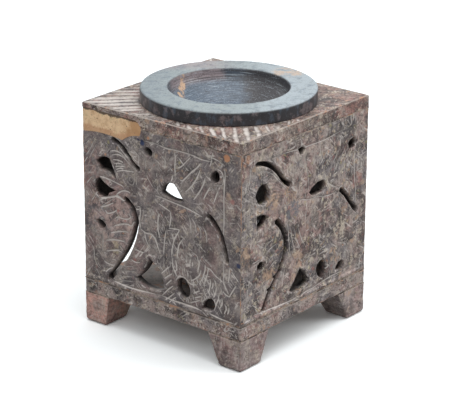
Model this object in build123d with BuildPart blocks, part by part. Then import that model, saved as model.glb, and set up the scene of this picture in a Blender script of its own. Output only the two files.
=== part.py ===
from build123d import *
import os
from math import sqrt

os.makedirs("parts", exist_ok=True)

# Sizes in millimetres. +Z is up, the front (-Y) and left (-X) walls carry the carved panels that face the viewer,
# and the origin is the centre of the ground that the feet stand on.

# Box of sawn slabs
box_width = 74.0
box_depth = 75.0
wall_height = 63.75
wall_thickness = 3.4
base_thickness = 5.3
top_thickness = 4.8
slab_edge_radius = 0.6
glue_thickness = 0.3
cut_overrun = 1.0
chisel_tolerance = 0.001

# Sawn feet, narrower at the ground
foot_height = 11.7
foot_top_width = 14.0
foot_bottom_width = 10.0
wide_foot_top_width = 15.0
wide_foot_bottom_width = 10.6
narrow_foot_top_width = 11.8
narrow_foot_bottom_width = 9.8
foot_edge_radius = 1.2

# Doorway for the candle in the rear wall
doorway_width = 48.0
doorway_height = 40.0

# Pierced line widths in the carved walls
trunk_slot_width = 1.9
chest_slot_width = 2.4
rump_slot_width = 2.0
nick_width = 0.9
slot_steps = 6

# Tan filler across the chipped edge of the top slab and left wall
filler_length = 28.5
filler_height = 9.3
filler_depth = 1.4
filler_top_margin = 2.1

# Turned oil dish
dish_radius = 32.5
rim_thickness = 5.35
rim_chamfer = 0.6
lip_chamfer = 0.4
bowl_radius = 22.9
bowl_step_radius = 21.6
bowl_step_depth = 3.6
bowl_depth = 12.6
neck_radius = 27.2
neck_length = 5.6
dish_foot_radius = 12.0
dish_drop = 11.2
seat_clearance = 0.5
dish_offset_x = -1.0
dish_offset_y = -2.0

# Tealight
tealight_radius = 19.0
cup_height = 16.0
cup_wall = 0.3
cup_corner = 1.2
cup_lip_width = 0.7
wax_height = 13.0
wax_clearance = 0.05
wick_radius = 0.8
wick_above_wax = 6.5
wick_lean = 2.2
tab_radius = 6.5
tab_thickness = 0.4
tab_neck_radius = 1.7
tab_neck_height = 4.0

# Levels up the box
base_bottom = foot_height + glue_thickness
base_top = base_bottom + base_thickness
wall_bottom = base_top + glue_thickness
wall_top = wall_bottom + wall_height
slab_bottom = wall_top + glue_thickness
slab_top = slab_bottom + top_thickness
rim_top = slab_top + rim_thickness

half_width = box_width / 2
half_depth = box_depth / 2
mitre_gap = glue_thickness / sqrt(2)
seat_radius = neck_radius + seat_clearance

# Pierced outlines of the elephant panel, as shares of the wall's length and height from its lower left corner.
# Slots are centre lines with a width, holes are closed chains of arcs.
left_trunk_shares = [(0.195, 0.895), (0.23, 0.885), (0.3, 0.812), (0.355, 0.762)]
left_chest_shares = [
    (0.275, 0.555), (0.32, 0.51), (0.338, 0.44), (0.325, 0.345), (0.285, 0.24), (0.22, 0.125), (0.165, 0.045),
]
left_rump_shares = [(0.802, 0.602), (0.855, 0.545), (0.892, 0.46), (0.912, 0.37)]
left_nick_shares = [[(0.215, 0.12), (0.236, 0.135)]]
left_hole_shares = {
    "under_trunk": [
        (0.082, 0.74), (0.115, 0.772), (0.172, 0.775), (0.195, 0.72), (0.223, 0.652), (0.175, 0.682), (0.105, 0.695),
    ],
    "under_tusk": [
        (0.21, 0.592), (0.148, 0.612), (0.1, 0.645), (0.074, 0.61), (0.08, 0.545), (0.108, 0.526), (0.165, 0.565),
    ],
    "leaf_eye": [(0.075, 0.375), (0.1, 0.385), (0.14, 0.365), (0.13, 0.34), (0.09, 0.345)],
    "over_back": [(0.5, 0.66), (0.53, 0.718), (0.588, 0.732), (0.61, 0.695), (0.645, 0.648), (0.57, 0.637)],
    "crown": [(0.4, 0.865), (0.41, 0.905), (0.43, 0.9), (0.445, 0.865), (0.42, 0.855)],
    "canopy_tip": [(0.835, 0.88), (0.865, 0.84), (0.85, 0.815), (0.815, 0.815), (0.81, 0.845)],
    "between_legs": [(0.425, 0.24), (0.487, 0.185), (0.522, 0.085), (0.43, 0.055), (0.335, 0.095), (0.385, 0.15)],
    "belly": [(0.6, 0.13), (0.62, 0.18), (0.665, 0.165), (0.685, 0.12), (0.66, 0.07), (0.62, 0.075)],
    "behind_heel": [(0.755, 0.04), (0.775, 0.09), (0.815, 0.115), (0.835, 0.075), (0.805, 0.04)],
}
front_trunk_shares = [(0.125, 0.92), (0.195, 0.9), (0.27, 0.842), (0.325, 0.77), (0.38, 0.722)]
front_chest_shares = [
    (0.28, 0.535), (0.325, 0.48), (0.345, 0.415), (0.35, 0.35), (0.335, 0.3), (0.285, 0.21), (0.205, 0.1), (0.18, 0.045),
]
front_rump_shares = [(0.788, 0.562), (0.84, 0.505), (0.88, 0.45), (0.922, 0.398)]
front_nick_shares = [
    [(0.305, 0.276), (0.325, 0.272)],
    [(0.254, 0.213), (0.285, 0.215)],
    [(0.21, 0.152), (0.245, 0.156)],
]
front_hole_shares = {
    "under_trunk": [
        (0.112, 0.735), (0.13, 0.77), (0.19, 0.787), (0.21, 0.755), (0.215, 0.685), (0.18, 0.67), (0.13, 0.695),
    ],
    "under_tusk": [(0.125, 0.615), (0.175, 0.61), (0.215, 0.585), (0.185, 0.55), (0.125, 0.53)],
    "leaf_eye": [(0.13, 0.29), (0.14, 0.335), (0.165, 0.335), (0.185, 0.31), (0.16, 0.29)],
    "over_back": [(0.528, 0.63), (0.59, 0.667), (0.625, 0.67), (0.66, 0.615), (0.615, 0.605), (0.545, 0.61)],
    "crown": [(0.44, 0.91), (0.46, 0.92), (0.495, 0.9), (0.48, 0.88), (0.45, 0.875)],
    "canopy_tip": [(0.87, 0.85), (0.905, 0.805), (0.885, 0.79), (0.845, 0.805)],
    "between_legs": [
        (0.38, 0.08), (0.43, 0.145), (0.46, 0.19), (0.505, 0.155), (0.54, 0.085), (0.495, 0.065), (0.425, 0.06),
    ],
    "belly": [(0.595, 0.14), (0.615, 0.175), (0.655, 0.175), (0.67, 0.125), (0.655, 0.065), (0.625, 0.08)],
    "behind_heel": [(0.755, 0.075), (0.78, 0.115), (0.81, 0.12), (0.825, 0.09), (0.795, 0.065)],
}

# Cuts of the right wall that differ from the left one's
right_chest_shares = [
    (0.29, 0.57), (0.36, 0.53), (0.405, 0.46), (0.405, 0.37), (0.35, 0.25), (0.26, 0.13), (0.185, 0.045),
]
right_hole_changes = {
    "between_legs": [(0.415, 0.235), (0.465, 0.18), (0.5, 0.085), (0.42, 0.055), (0.335, 0.095), (0.38, 0.15)],
    "belly": [(0.73, 0.13), (0.75, 0.18), (0.79, 0.165), (0.805, 0.12), (0.785, 0.075), (0.745, 0.08)],
    "behind_heel": [(0.85, 0.04), (0.865, 0.085), (0.9, 0.105), (0.918, 0.07), (0.89, 0.04)],
}

# Lower and right edge of the filler, as shares of its length from the rear corner and of its height from its top
filler_edge_shares = [(0.9, 0), (0.99, 0.2), (0.97, 0.6), (0.84, 0.68), (0.68, 0.95), (0.4, 0.88), (0, 1)]


def wall_face(corner_x, corner_y, along):
    """Outer face of a wall: origin at its lower left corner seen from outside, X along the wall and Y up it."""
    outward = Vector(along).cross(Vector(0, 0, 1))
    return Plane(origin=(corner_x, corner_y, wall_bottom), x_dir=along, z_dir=outward)


def arc_chain(points):
    """Joins points by arcs, three points at a time, with a line where two are left over or three stand in line."""
    for start in range(0, len(points) - 1, 2):
        run = [Vector(point) for point in points[start : start + 3]]
        if len(run) == 3 and abs((run[1] - run[0]).cross(run[2] - run[0]).Z) > chisel_tolerance:
            ThreePointArc(*run)
        else:
            Line(run[0], run[-1])


left_face = wall_face(-half_width, half_depth, (0, -1, 0))
front_face = wall_face(-half_width, -half_depth, (1, 0, 0))
right_face = wall_face(half_width, -half_depth, (0, 1, 0))
rear_face = wall_face(half_width, half_depth, (-1, 0, 0))


def mitred_plan(face, length):
    """Plan of a wall slab, cut at 45 degrees at both ends with room for the corner glue."""
    with BuildSketch(Plane(origin=face.origin, x_dir=face.x_dir, z_dir=(0, 0, 1))) as plan:
        with BuildLine():
            Polyline(
                (mitre_gap, 0),
                (length - mitre_gap, 0),
                (length - wall_thickness - mitre_gap, wall_thickness),
                (wall_thickness + mitre_gap, wall_thickness),
                close=True,
            )
        make_face()
    return plan.sketch


def panel_piercing(face, length, slots, holes):
    """Every cut of one elephant panel: slots as (centre line shares, width) and holes as closed curve shares."""
    with BuildSketch(face) as piercing:
        for shares, width in slots:
            with BuildLine(mode=Mode.PRIVATE):
                centre_line = Spline(*[(u * length, v * wall_height) for u, v in shares])
            stations = [i / slot_steps for i in range(slot_steps + 1)]
            ahead = [(centre_line % t) * (width / 2) for t in stations]
            left_side = [centre_line @ t + step.rotate(Axis.Z, 90) for t, step in zip(stations, ahead)]
            right_side = [centre_line @ t + step.rotate(Axis.Z, -90) for t, step in zip(stations, ahead)]
            with BuildLine():
                arc_chain(left_side)
                ThreePointArc(left_side[-1], centre_line @ 1 + ahead[-1], right_side[-1])
                arc_chain(right_side[::-1])
                ThreePointArc(right_side[0], centre_line @ 0 - ahead[0], left_side[0])
            make_face()
        for shares in holes.values():
            with BuildLine():
                arc_chain([(u * length, v * wall_height) for u, v in shares + shares[:1]])
            make_face()
    return piercing.sketch


def filler_outline():
    """Outline of the filler on the left face, measured from the rear corner and down from its top edge."""
    patch_top = slab_top - filler_top_margin
    with BuildSketch(Plane(origin=(-half_width, half_depth, patch_top), x_dir=(0, -1, 0), z_dir=(-1, 0, 0))) as patch:
        with BuildLine():
            edge = [(u * filler_length, -v * filler_height) for u, v in filler_edge_shares]
            Line((0, 0), edge[0])
            arc_chain(edge)
            Line(edge[-1], (0, 0))
        make_face()
    return patch.sketch


def carved_wall(face, length, slots, holes):
    """One mitred wall slab with its panel pierced right through."""
    with BuildPart() as wall:
        extrude(mitred_plan(face, length), amount=wall_height)
        extrude(
            panel_piercing(face, length, slots, holes),
            amount=wall_thickness + cut_overrun,
            both=True,
            mode=Mode.SUBTRACT,
        )
    return wall


left_slots = [
    (left_trunk_shares, trunk_slot_width),
    (left_chest_shares, chest_slot_width),
    (left_rump_shares, rump_slot_width),
] + [(nick, nick_width) for nick in left_nick_shares]
front_slots = [
    (front_trunk_shares, trunk_slot_width),
    (front_chest_shares, chest_slot_width),
    (front_rump_shares, rump_slot_width),
] + [(nick, nick_width) for nick in front_nick_shares]

# The right wall repeats the left one's panel, with the changes that keep the front wall's openings dark
right_slots = [
    (left_trunk_shares, trunk_slot_width),
    (right_chest_shares, chest_slot_width),
    (left_rump_shares, rump_slot_width),
]
right_hole_shares = left_hole_shares | right_hole_changes

# Left wall, with the pocket that the filler makes good
with BuildPart() as left_wall:
    add(carved_wall(left_face, box_depth, left_slots, left_hole_shares).part)
    extrude(filler_outline(), amount=-filler_depth, mode=Mode.SUBTRACT)
left_wall.part.label = "left_wall"
export_step(left_wall.part, "parts/left_wall.step")

# Front and right walls
front_wall = carved_wall(front_face, box_width, front_slots, front_hole_shares)
front_wall.part.label = "front_wall"
export_step(front_wall.part, "parts/front_wall.step")

right_wall = carved_wall(right_face, box_depth, right_slots, right_hole_shares)
right_wall.part.label = "right_wall"
export_step(right_wall.part, "parts/right_wall.step")

# Rear wall, with the arched doorway that the candle goes in by and the end of the filler's pocket
doorway_radius = doorway_width / 2
doorway_spring = doorway_height - doorway_radius
with BuildPart() as rear_wall:
    extrude(mitred_plan(rear_face, box_width), amount=wall_height)
    with BuildSketch(rear_face):
        with BuildLine():
            Line((half_width - doorway_radius, doorway_spring), (half_width - doorway_radius, 0))
            Line((half_width - doorway_radius, 0), (half_width + doorway_radius, 0))
            Line((half_width + doorway_radius, 0), (half_width + doorway_radius, doorway_spring))
            ThreePointArc(
                (half_width + doorway_radius, doorway_spring),
                (half_width, doorway_height),
                (half_width - doorway_radius, doorway_spring),
            )
        make_face()
    extrude(amount=wall_thickness + cut_overrun, both=True, mode=Mode.SUBTRACT)
    extrude(filler_outline(), amount=-filler_depth, mode=Mode.SUBTRACT)
rear_wall.part.label = "rear_wall"
export_step(rear_wall.part, "parts/rear_wall.step")

# Floor plate
with BuildPart() as base_slab:
    with BuildSketch(Plane.XY.offset(base_bottom)):
        Rectangle(box_width, box_depth)
    extrude(amount=base_thickness)
base_slab.part.label = "base_slab"
export_step(base_slab.part, "parts/base_slab.step")

# Top plate with the dish's seat
with BuildPart() as top_slab:
    with BuildSketch(Plane.XY.offset(slab_bottom)):
        Rectangle(box_width, box_depth)
        with Locations((dish_offset_x, dish_offset_y)):
            Circle(seat_radius, mode=Mode.SUBTRACT)
    extrude(amount=top_thickness)
    top_edges = top_slab.edges().filter_by(GeomType.LINE).group_by(Axis.Z)[-1]
    fillet(top_edges, radius=slab_edge_radius)
    extrude(filler_outline(), amount=-filler_depth, mode=Mode.SUBTRACT)
top_slab.part.label = "top_slab"
export_step(top_slab.part, "parts/top_slab.step")

# Filler, flush with the left face
with BuildPart() as filler_patch:
    extrude(filler_outline(), amount=-filler_depth)
filler_patch.part.label = "filler_patch"
export_step(filler_patch.part, "parts/filler_patch.step")


def glue_ring(level):
    """Square film of glue that a slab's edge beds on."""
    with BuildSketch(Plane.XY.offset(level)) as ring:
        Rectangle(box_width, box_depth)
        Rectangle(box_width - 2 * wall_thickness, box_depth - 2 * wall_thickness, mode=Mode.SUBTRACT)
    return ring.sketch


# Glue under the top slab, cut away where the filler runs across it
with BuildPart() as top_glue_bed:
    extrude(glue_ring(wall_top), amount=glue_thickness)
    extrude(filler_outline(), amount=-filler_depth, mode=Mode.SUBTRACT)
top_glue_bed.part.label = "top_glue_bed"
export_step(top_glue_bed.part, "parts/top_glue_bed.step")

# Glue between the walls and the floor plate, left open at the doorway
with BuildPart() as base_glue_bed:
    extrude(glue_ring(base_top), amount=glue_thickness)
    with BuildSketch(Plane.XY.offset(base_top)):
        with Locations((0, half_depth - wall_thickness / 2)):
            Rectangle(doorway_width, wall_thickness + cut_overrun)
    extrude(amount=glue_thickness, mode=Mode.SUBTRACT)
base_glue_bed.part.label = "base_glue_bed"
export_step(base_glue_bed.part, "parts/base_glue_bed.step")

# Glue films in the four mitred corners
with BuildPart() as corner_glue:
    for side_x in (-1, 1):
        for side_y in (-1, 1):
            outer_x = side_x * half_width
            outer_y = side_y * half_depth
            inner_x = side_x * (half_width - wall_thickness)
            inner_y = side_y * (half_depth - wall_thickness)
            with BuildSketch(Plane.XY.offset(wall_bottom)):
                with BuildLine():
                    Polyline(
                        (outer_x, outer_y - side_y * mitre_gap),
                        (outer_x, outer_y),
                        (outer_x - side_x * mitre_gap, outer_y),
                        (inner_x - side_x * mitre_gap, inner_y),
                        (inner_x, inner_y),
                        (inner_x, inner_y - side_y * mitre_gap),
                        close=True,
                    )
                make_face()
            extrude(amount=wall_height)
    extrude(filler_outline(), amount=-filler_depth, mode=Mode.SUBTRACT)
corner_glue.part.label = "corner_glue"
export_step(corner_glue.part, "parts/corner_glue.step")

# Feet, each flush with two sides of the box and sloped on its two inner sides
feet = {
    "foot_front_left": (-1, -1, wide_foot_top_width, wide_foot_bottom_width),
    "foot_front_right": (1, -1, foot_top_width, foot_bottom_width),
    "foot_rear_left": (-1, 1, narrow_foot_top_width, narrow_foot_bottom_width),
    "foot_rear_right": (1, 1, foot_top_width, foot_bottom_width),
}


def corner_square(level, side_x, side_y, width):
    """Square at a given level with one corner on the box's own corner."""
    with BuildSketch(Plane.XY.offset(level)) as square:
        with Locations((side_x * (half_width - width / 2), side_y * (half_depth - width / 2))):
            Rectangle(width, width)
    return square.sketch


def sawn_profile(plane, side, half_length, top_width, bottom_width):
    """Side view of a foot: upright on its outer side, sawn to a slope on its inner side."""
    with BuildSketch(plane) as profile:
        with BuildLine():
            Polyline(
                (side * half_length, 0),
                (side * (half_length - bottom_width), 0),
                (side * (half_length - top_width), foot_height),
                (side * half_length, foot_height),
                close=True,
            )
        make_face()
    return profile.sketch


for foot_name, (side_x, side_y, top_width, bottom_width) in feet.items():
    with BuildPart() as foot:
        extrude(
            sawn_profile(Plane.XZ, side_x, half_width, top_width, bottom_width),
            amount=half_depth,
            both=True,
        )
        extrude(
            sawn_profile(Plane.YZ, side_y, half_depth, top_width, bottom_width),
            amount=half_width,
            both=True,
            mode=Mode.INTERSECT,
        )
        fillet(foot.faces().sort_by(Axis.Z)[0].edges(), radius=foot_edge_radius)
    foot.part.label = foot_name
    export_step(foot.part, f"parts/{foot_name}.step")

# Glue pads between the feet and the floor plate
with BuildPart() as foot_glue:
    for side_x, side_y, top_width, bottom_width in feet.values():
        extrude(corner_square(foot_height, side_x, side_y, top_width), amount=glue_thickness)
foot_glue.part.label = "foot_glue"
export_step(foot_glue.part, "parts/foot_glue.step")

# Oil dish, turned about its own axis: wide flat rim, stepped bowl, neck that drops through the seat
dish_axis = Axis((dish_offset_x, dish_offset_y, 0), (0, 0, 1))
bowl_floor = rim_top - bowl_depth
dish_bottom = slab_top - dish_drop
with BuildPart() as oil_dish:
    with BuildSketch(Plane(origin=(dish_offset_x, dish_offset_y, 0), x_dir=(1, 0, 0), z_dir=(0, -1, 0))):
        with BuildLine():
            inner_wall = Line((bowl_radius, rim_top), (bowl_step_radius, rim_top - bowl_step_depth))
            RadiusArc(
                inner_wall @ 1,
                (0, bowl_floor),
                (bowl_step_radius**2 + (bowl_depth - bowl_step_depth) ** 2) / (2 * (bowl_depth - bowl_step_depth)),
            )
            Line((0, bowl_floor), (0, dish_bottom))
            Line((0, dish_bottom), (dish_foot_radius, dish_bottom))
            Line((dish_foot_radius, dish_bottom), (neck_radius, slab_top - neck_length))
            Line((neck_radius, slab_top - neck_length), (neck_radius, slab_top))
            Line((neck_radius, slab_top), (dish_radius, slab_top))
            Line((dish_radius, slab_top), (dish_radius, rim_top))
            Line((dish_radius, rim_top), (bowl_radius, rim_top))
        make_face()
    revolve(axis=dish_axis)
    rim_circles = oil_dish.edges().filter_by(GeomType.CIRCLE).group_by(Axis.Z)[-1].sort_by(SortBy.RADIUS)
    chamfer(rim_circles[-1], length=rim_chamfer)
    chamfer(rim_circles[0], length=lip_chamfer)
oil_dish.part.label = "oil_dish"
export_step(oil_dish.part, "parts/oil_dish.step")

# Tealight: pressed cup, wax, wick and the tab that holds the wick up
wax_bottom = base_top + cup_wall
wax_top = wax_bottom + wax_height
wax_radius = tealight_radius - cup_wall - wax_clearance
with BuildPart() as tealight_cup:
    with BuildSketch(Plane.XZ):
        with BuildLine():
            Line((0, base_top), (tealight_radius - cup_corner, base_top))
            Line((tealight_radius - cup_corner, base_top), (tealight_radius, base_top + cup_corner))
            Line((tealight_radius, base_top + cup_corner), (tealight_radius, base_top + cup_height - cup_wall))
            Line(
                (tealight_radius, base_top + cup_height - cup_wall),
                (tealight_radius + cup_lip_width, base_top + cup_height - cup_wall),
            )
            Line(
                (tealight_radius + cup_lip_width, base_top + cup_height - cup_wall),
                (tealight_radius + cup_lip_width, base_top + cup_height),
            )
            Line(
                (tealight_radius + cup_lip_width, base_top + cup_height),
                (tealight_radius - cup_wall, base_top + cup_height),
            )
            Line(
                (tealight_radius - cup_wall, base_top + cup_height),
                (tealight_radius - cup_wall, base_top + cup_corner),
            )
            Line((tealight_radius - cup_wall, base_top + cup_corner), (tealight_radius - cup_corner, base_top + cup_wall))
            Line((tealight_radius - cup_corner, base_top + cup_wall), (0, base_top + cup_wall))
            Line((0, base_top + cup_wall), (0, base_top))
        make_face()
    revolve(axis=Axis.Z)
tealight_cup.part.label = "tealight_cup"
export_step(tealight_cup.part, "parts/tealight_cup.step")

# Tab: flat disc with a crimped neck round the wick
with BuildPart() as wick_tab:
    with BuildSketch(Plane.XY.offset(wax_bottom)):
        Circle(tab_radius)
    extrude(amount=tab_thickness)
    with BuildSketch(Plane.XY.offset(wax_bottom)):
        Circle(tab_neck_radius)
    extrude(amount=tab_neck_height)
    with BuildSketch(Plane.XY.offset(wax_bottom + tab_thickness)):
        Circle(wick_radius)
    extrude(amount=tab_neck_height, mode=Mode.SUBTRACT)
wick_tab.part.label = "wick_tab"
export_step(wick_tab.part, "parts/wick_tab.step")

# Wick: straight in the wax, bent over where it stands clear
wick_bottom = wax_bottom + tab_thickness
with BuildPart() as tealight_wick:
    with BuildLine():
        stem = Line((0, 0, wick_bottom), (0, 0, wax_top))
        TangentArc(stem @ 1, (wick_lean, 0, wax_top + wick_above_wax), tangent=stem % 1)
    with BuildSketch(Plane.XY.offset(wick_bottom)):
        Circle(wick_radius)
    sweep()
tealight_wick.part.label = "tealight_wick"
export_step(tealight_wick.part, "parts/tealight_wick.step")

# Wax, cast round the tab and wick
with BuildPart() as tealight_wax:
    with BuildSketch(Plane.XY.offset(wax_bottom)):
        Circle(wax_radius)
    extrude(amount=wax_height)
    wax_floor = tealight_wax.faces().sort_by(Axis.Z)[0]
    chamfer(wax_floor.edges(), length=cup_corner - cup_wall)
    with BuildSketch(Plane.XY.offset(wax_bottom)):
        Circle(tab_radius)
    extrude(amount=tab_thickness, mode=Mode.SUBTRACT)
    with BuildSketch(Plane.XY.offset(wax_bottom)):
        Circle(tab_neck_radius)
    extrude(amount=tab_neck_height, mode=Mode.SUBTRACT)
    with BuildSketch(Plane.XY.offset(wax_bottom)):
        Circle(wick_radius)
    extrude(amount=wax_height, mode=Mode.SUBTRACT)
tealight_wax.part.label = "tealight_wax"
export_step(tealight_wax.part, "parts/tealight_wax.step")
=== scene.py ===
"""Carved soapstone oil burner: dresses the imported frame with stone, glue, a turned dish and a tealight."""

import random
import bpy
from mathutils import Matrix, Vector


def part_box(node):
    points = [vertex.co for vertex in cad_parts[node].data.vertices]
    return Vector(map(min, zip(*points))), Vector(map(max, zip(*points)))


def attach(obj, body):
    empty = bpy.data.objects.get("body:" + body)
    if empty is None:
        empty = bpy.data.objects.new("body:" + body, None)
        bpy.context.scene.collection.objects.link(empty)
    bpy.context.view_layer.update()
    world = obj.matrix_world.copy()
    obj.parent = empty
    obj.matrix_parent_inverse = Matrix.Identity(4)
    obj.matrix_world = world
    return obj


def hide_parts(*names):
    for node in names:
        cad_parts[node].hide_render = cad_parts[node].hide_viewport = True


bl_info = {
    "name": "Soapstone oil burner",
    "version": (1, 0, 0),
    "blender": (4, 5, 0),
    "location": "View3D > Sidebar > Oil burner",
    "description": "Dresses the packed oil burner with carved stone, glue, a turned dish and a tealight",
    "category": "Object",
}

from math import asin, atan2, ceil, cos, hypot, pi, radians, sin, sqrt

import bmesh
import bpy
import numpy as np
from bpy.props import FloatProperty, FloatVectorProperty, IntProperty, PointerProperty
from mathutils import Matrix, Vector, noise
from mathutils.kdtree import KDTree

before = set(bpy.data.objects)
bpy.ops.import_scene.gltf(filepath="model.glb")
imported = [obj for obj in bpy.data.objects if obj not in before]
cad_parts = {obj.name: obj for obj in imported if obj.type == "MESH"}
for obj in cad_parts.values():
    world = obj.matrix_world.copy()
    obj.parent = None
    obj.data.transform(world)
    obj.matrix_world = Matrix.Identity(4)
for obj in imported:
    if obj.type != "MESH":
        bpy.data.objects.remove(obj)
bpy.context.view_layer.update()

MM = 0.001
MERGE_DISTANCE = 1e-6
PLANE_TOLERANCE = 2e-6
FACING = 0.99
ALONG_X = Vector((1, 0, 0))
ALONG_Y = Vector((0, 1, 0))
UP = Vector((0, 0, 1))
FLAT_WAYS = [
    Vector(way).normalized() for way in ((1, 0.6, 0.1), (-0.5, 1, 0.3), (1, 1, -0.6), (0.2, -1, 0.7))
]

box_low, box_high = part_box("top_slab")
dish_low, dish_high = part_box("oil_dish")
dish_centre = (dish_low + dish_high) / 2
dish_radius = (dish_high.x - dish_low.x) / 2

# Share of the dish's radius that its bowl takes up at the rim
BOWL_SHARE = 0.69
bowl_radius = dish_radius * BOWL_SHARE

# Way across the two beds of stone that the dish is turned from
BED_SIDE = (0.637, -0.771)
# Middle of a cream patch on the dish's rim, in millimetres
CREAM_PATCH = (26.1, -8.1, dish_high.z / MM)
# Radius in millimetres above which the clouds of the stone break up a mark in it
LARGE_MARK = 2.0


def shade(red, green, blue):
    """Scene colour of a colour given from 0 to 255 as a screen shows it."""
    parts = [part / 255 for part in (red, green, blue)]
    return tuple(part / 12.92 if part <= 0.04045 else ((part + 0.055) / 1.055) ** 2.4 for part in parts)


def colour_setting(name, description, red, green, blue):
    """Colour that a user may change."""
    return FloatVectorProperty(
        name=name,
        description=description,
        subtype="COLOR",
        size=3,
        min=0,
        max=1,
        default=shade(red, green, blue),
    )


def length_setting(name, description, millimetres):
    """Length that a user may change."""
    return FloatProperty(
        name=name,
        description=description,
        subtype="DISTANCE",
        unit="LENGTH",
        min=0,
        precision=5,
        default=millimetres * MM,
    )


def power_setting(name, description, watts):
    """Lamp power that a user may change."""
    return FloatProperty(
        name=name,
        description=description,
        subtype="POWER",
        unit="POWER",
        min=0,
        default=watts,
    )


def angle_setting(name, description, degrees):
    """Angle that a user may change."""
    return FloatProperty(
        name=name,
        description=description,
        subtype="ANGLE",
        unit="ROTATION",
        default=radians(degrees),
    )


class StoneSettings(bpy.types.PropertyGroup):
    """Colours and grain of the brown soapstone slabs."""

    mauve: colour_setting("Left ground", "Smooth mauve brown of the left wall", 130, 119, 118)
    brown: colour_setting("Ground", "Warmer brown of the other slabs", 164, 148, 143)
    russet: colour_setting("Top ground", "Reddish brown of the top plate", 146, 123, 112)
    rosewood: colour_setting("Foot ground", "Rosy brown of the feet", 170, 147, 144)
    petal: colour_setting("Red foot ground", "Reddish brown of the rear left foot", 224, 174, 160)
    mallow: colour_setting("Pale foot ground", "Pale mauve of the front right foot", 186, 168, 164)
    # Also laid beside the chisel cuts as painted shade
    umber: colour_setting("Umber", "Dark patches between the grains", 46, 40, 42)
    ash: colour_setting("Ash", "Pale grains", 178, 168, 160)
    slate: colour_setting("Slate", "Cool blue grey drifts", 100, 104, 114)
    rose: colour_setting("Rose", "Pink drifts and specks", 166, 112, 106)
    ochre: colour_setting("Ochre", "Rusty specks and worn edges", 200, 142, 104)
    sand: colour_setting("Sand", "Pale orange patches", 198, 166, 140)
    lichen: colour_setting("Lichen", "Yellow green specks", 176, 168, 122)
    cream: colour_setting("Cream", "Pale clouds", 212, 200, 182)
    chalk: colour_setting("Chalk", "Stone dust left in chisel cuts and scratches", 222, 215, 209)
    # Painted shade with some smoke and oil: dark colour laid on the inner faces of the walls and inside their
    # openings
    soot: colour_setting("Soot", "Smoke and oil inside the openings", 30, 26, 25)
    ink: colour_setting("Ink", "Dark blue mark beside the filler", 38, 52, 86)
    mottle_size: length_setting("Mottle size", "Width of the mottled patches", 3.4)


class CarvingSettings(bpy.types.PropertyGroup):
    """Depths of the chisel work on the walls and the top."""

    grid_step: length_setting("Grid step", "Spacing of the mesh under the chisel cuts", 0.3)
    cut_depth: length_setting("Cut depth", "Depth of an incised line", 0.3)
    cut_width: length_setting("Cut width", "Half width of an incised line", 0.27)
    scoop_depth: length_setting("Scoop depth", "Depth of the hollow that a chisel leaves round a line", 0.28)
    scoop_width: length_setting("Scoop width", "Half width of that hollow", 0.95)
    field_drop: length_setting("Field drop", "How far the panel's ground lies below its border", 0.5)
    edge_round: length_setting("Edge rounding", "Wear round the pierced openings", 0.45)
    unevenness: length_setting("Unevenness", "Waves that hand rubbing leaves in a face", 0.14)
    groove_spacing: length_setting("Groove spacing", "Distance between the corner grooves of the top", 3.9)
    groove_depth: length_setting("Groove depth", "Depth of the corner grooves of the top", 0.45)


class DishSettings(bpy.types.PropertyGroup):
    """Colours and turning marks of the dish."""

    rim_blue: colour_setting("Rim light", "Pale blue grey of the scuffed rim", 170, 181, 188)
    rim_grey: colour_setting("Rim", "Green grey of the rim", 150, 160, 162)
    # Also laid on the bowl's steep upper wall as painted shade
    charcoal: colour_setting("Charcoal", "Polished dark sides", 44, 43, 47)
    bowl_blue: colour_setting("Bowl", "Blue grey side of the bowl", 88, 103, 119)
    bowl_umber: colour_setting("Bowl shade", "Dark side of the bowl", 66, 65, 69)
    blush: colour_setting("Blush", "Pink brown drift at the back", 160, 144, 145)
    cream: colour_setting("Vein", "Cream and rust veins", 208, 172, 138)
    ring_depth: length_setting("Ring depth", "Depth of the turning rings in the bowl", 0.09)
    ring_step: length_setting("Ring step", "Spacing of the mesh along the turned profile", 0.4)
    bowl_depth: length_setting("Bowl depth", "Depth of the bowl below the rim", 12.6)
    step_radius: length_setting("Step radius", "Radius at which the bowl's floor turns up to the rim", 21.8)
    step_depth: length_setting("Step depth", "Depth of that turn below the rim", 3.6)
    step_round: length_setting("Step rounding", "Rounding of that turn", 1.5)
    neck_radius: length_setting("Neck radius", "Radius of the part inside the seat", 27.2)
    neck_depth: length_setting("Neck depth", "How far that part goes down into the top plate", 5.6)
    foot_radius: length_setting("Foot radius", "Radius of the flat underside", 12.0)
    turns: IntProperty(name="Turn steps", description="Steps of the spin round the axis", min=24, default=160)


class TealightSettings(bpy.types.PropertyGroup):
    """Colours of the candle."""

    wax: colour_setting("Wax", "Paraffin wax", 240, 236, 226)
    aluminium: colour_setting("Cup", "Pressed aluminium of the cup", 208, 208, 211)
    cotton: colour_setting("Wick", "Waxed cotton", 226, 218, 200)
    steel: colour_setting("Tab", "Tinned steel of the wick tab", 160, 160, 163)


class SeamSettings(bpy.types.PropertyGroup):
    """Colours of the glue and the filler."""

    glue: colour_setting("Glue", "Glue with stone dust in the seams", 178, 163, 150)
    rust: colour_setting("Stain", "Rusty stain in the seams", 192, 140, 106)
    filler: colour_setting("Filler", "Tan filler over the chipped corner", 246, 213, 172)
    filler_dark: colour_setting("Filler stain", "Orange brown stains in the filler", 190, 142, 98)


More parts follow.
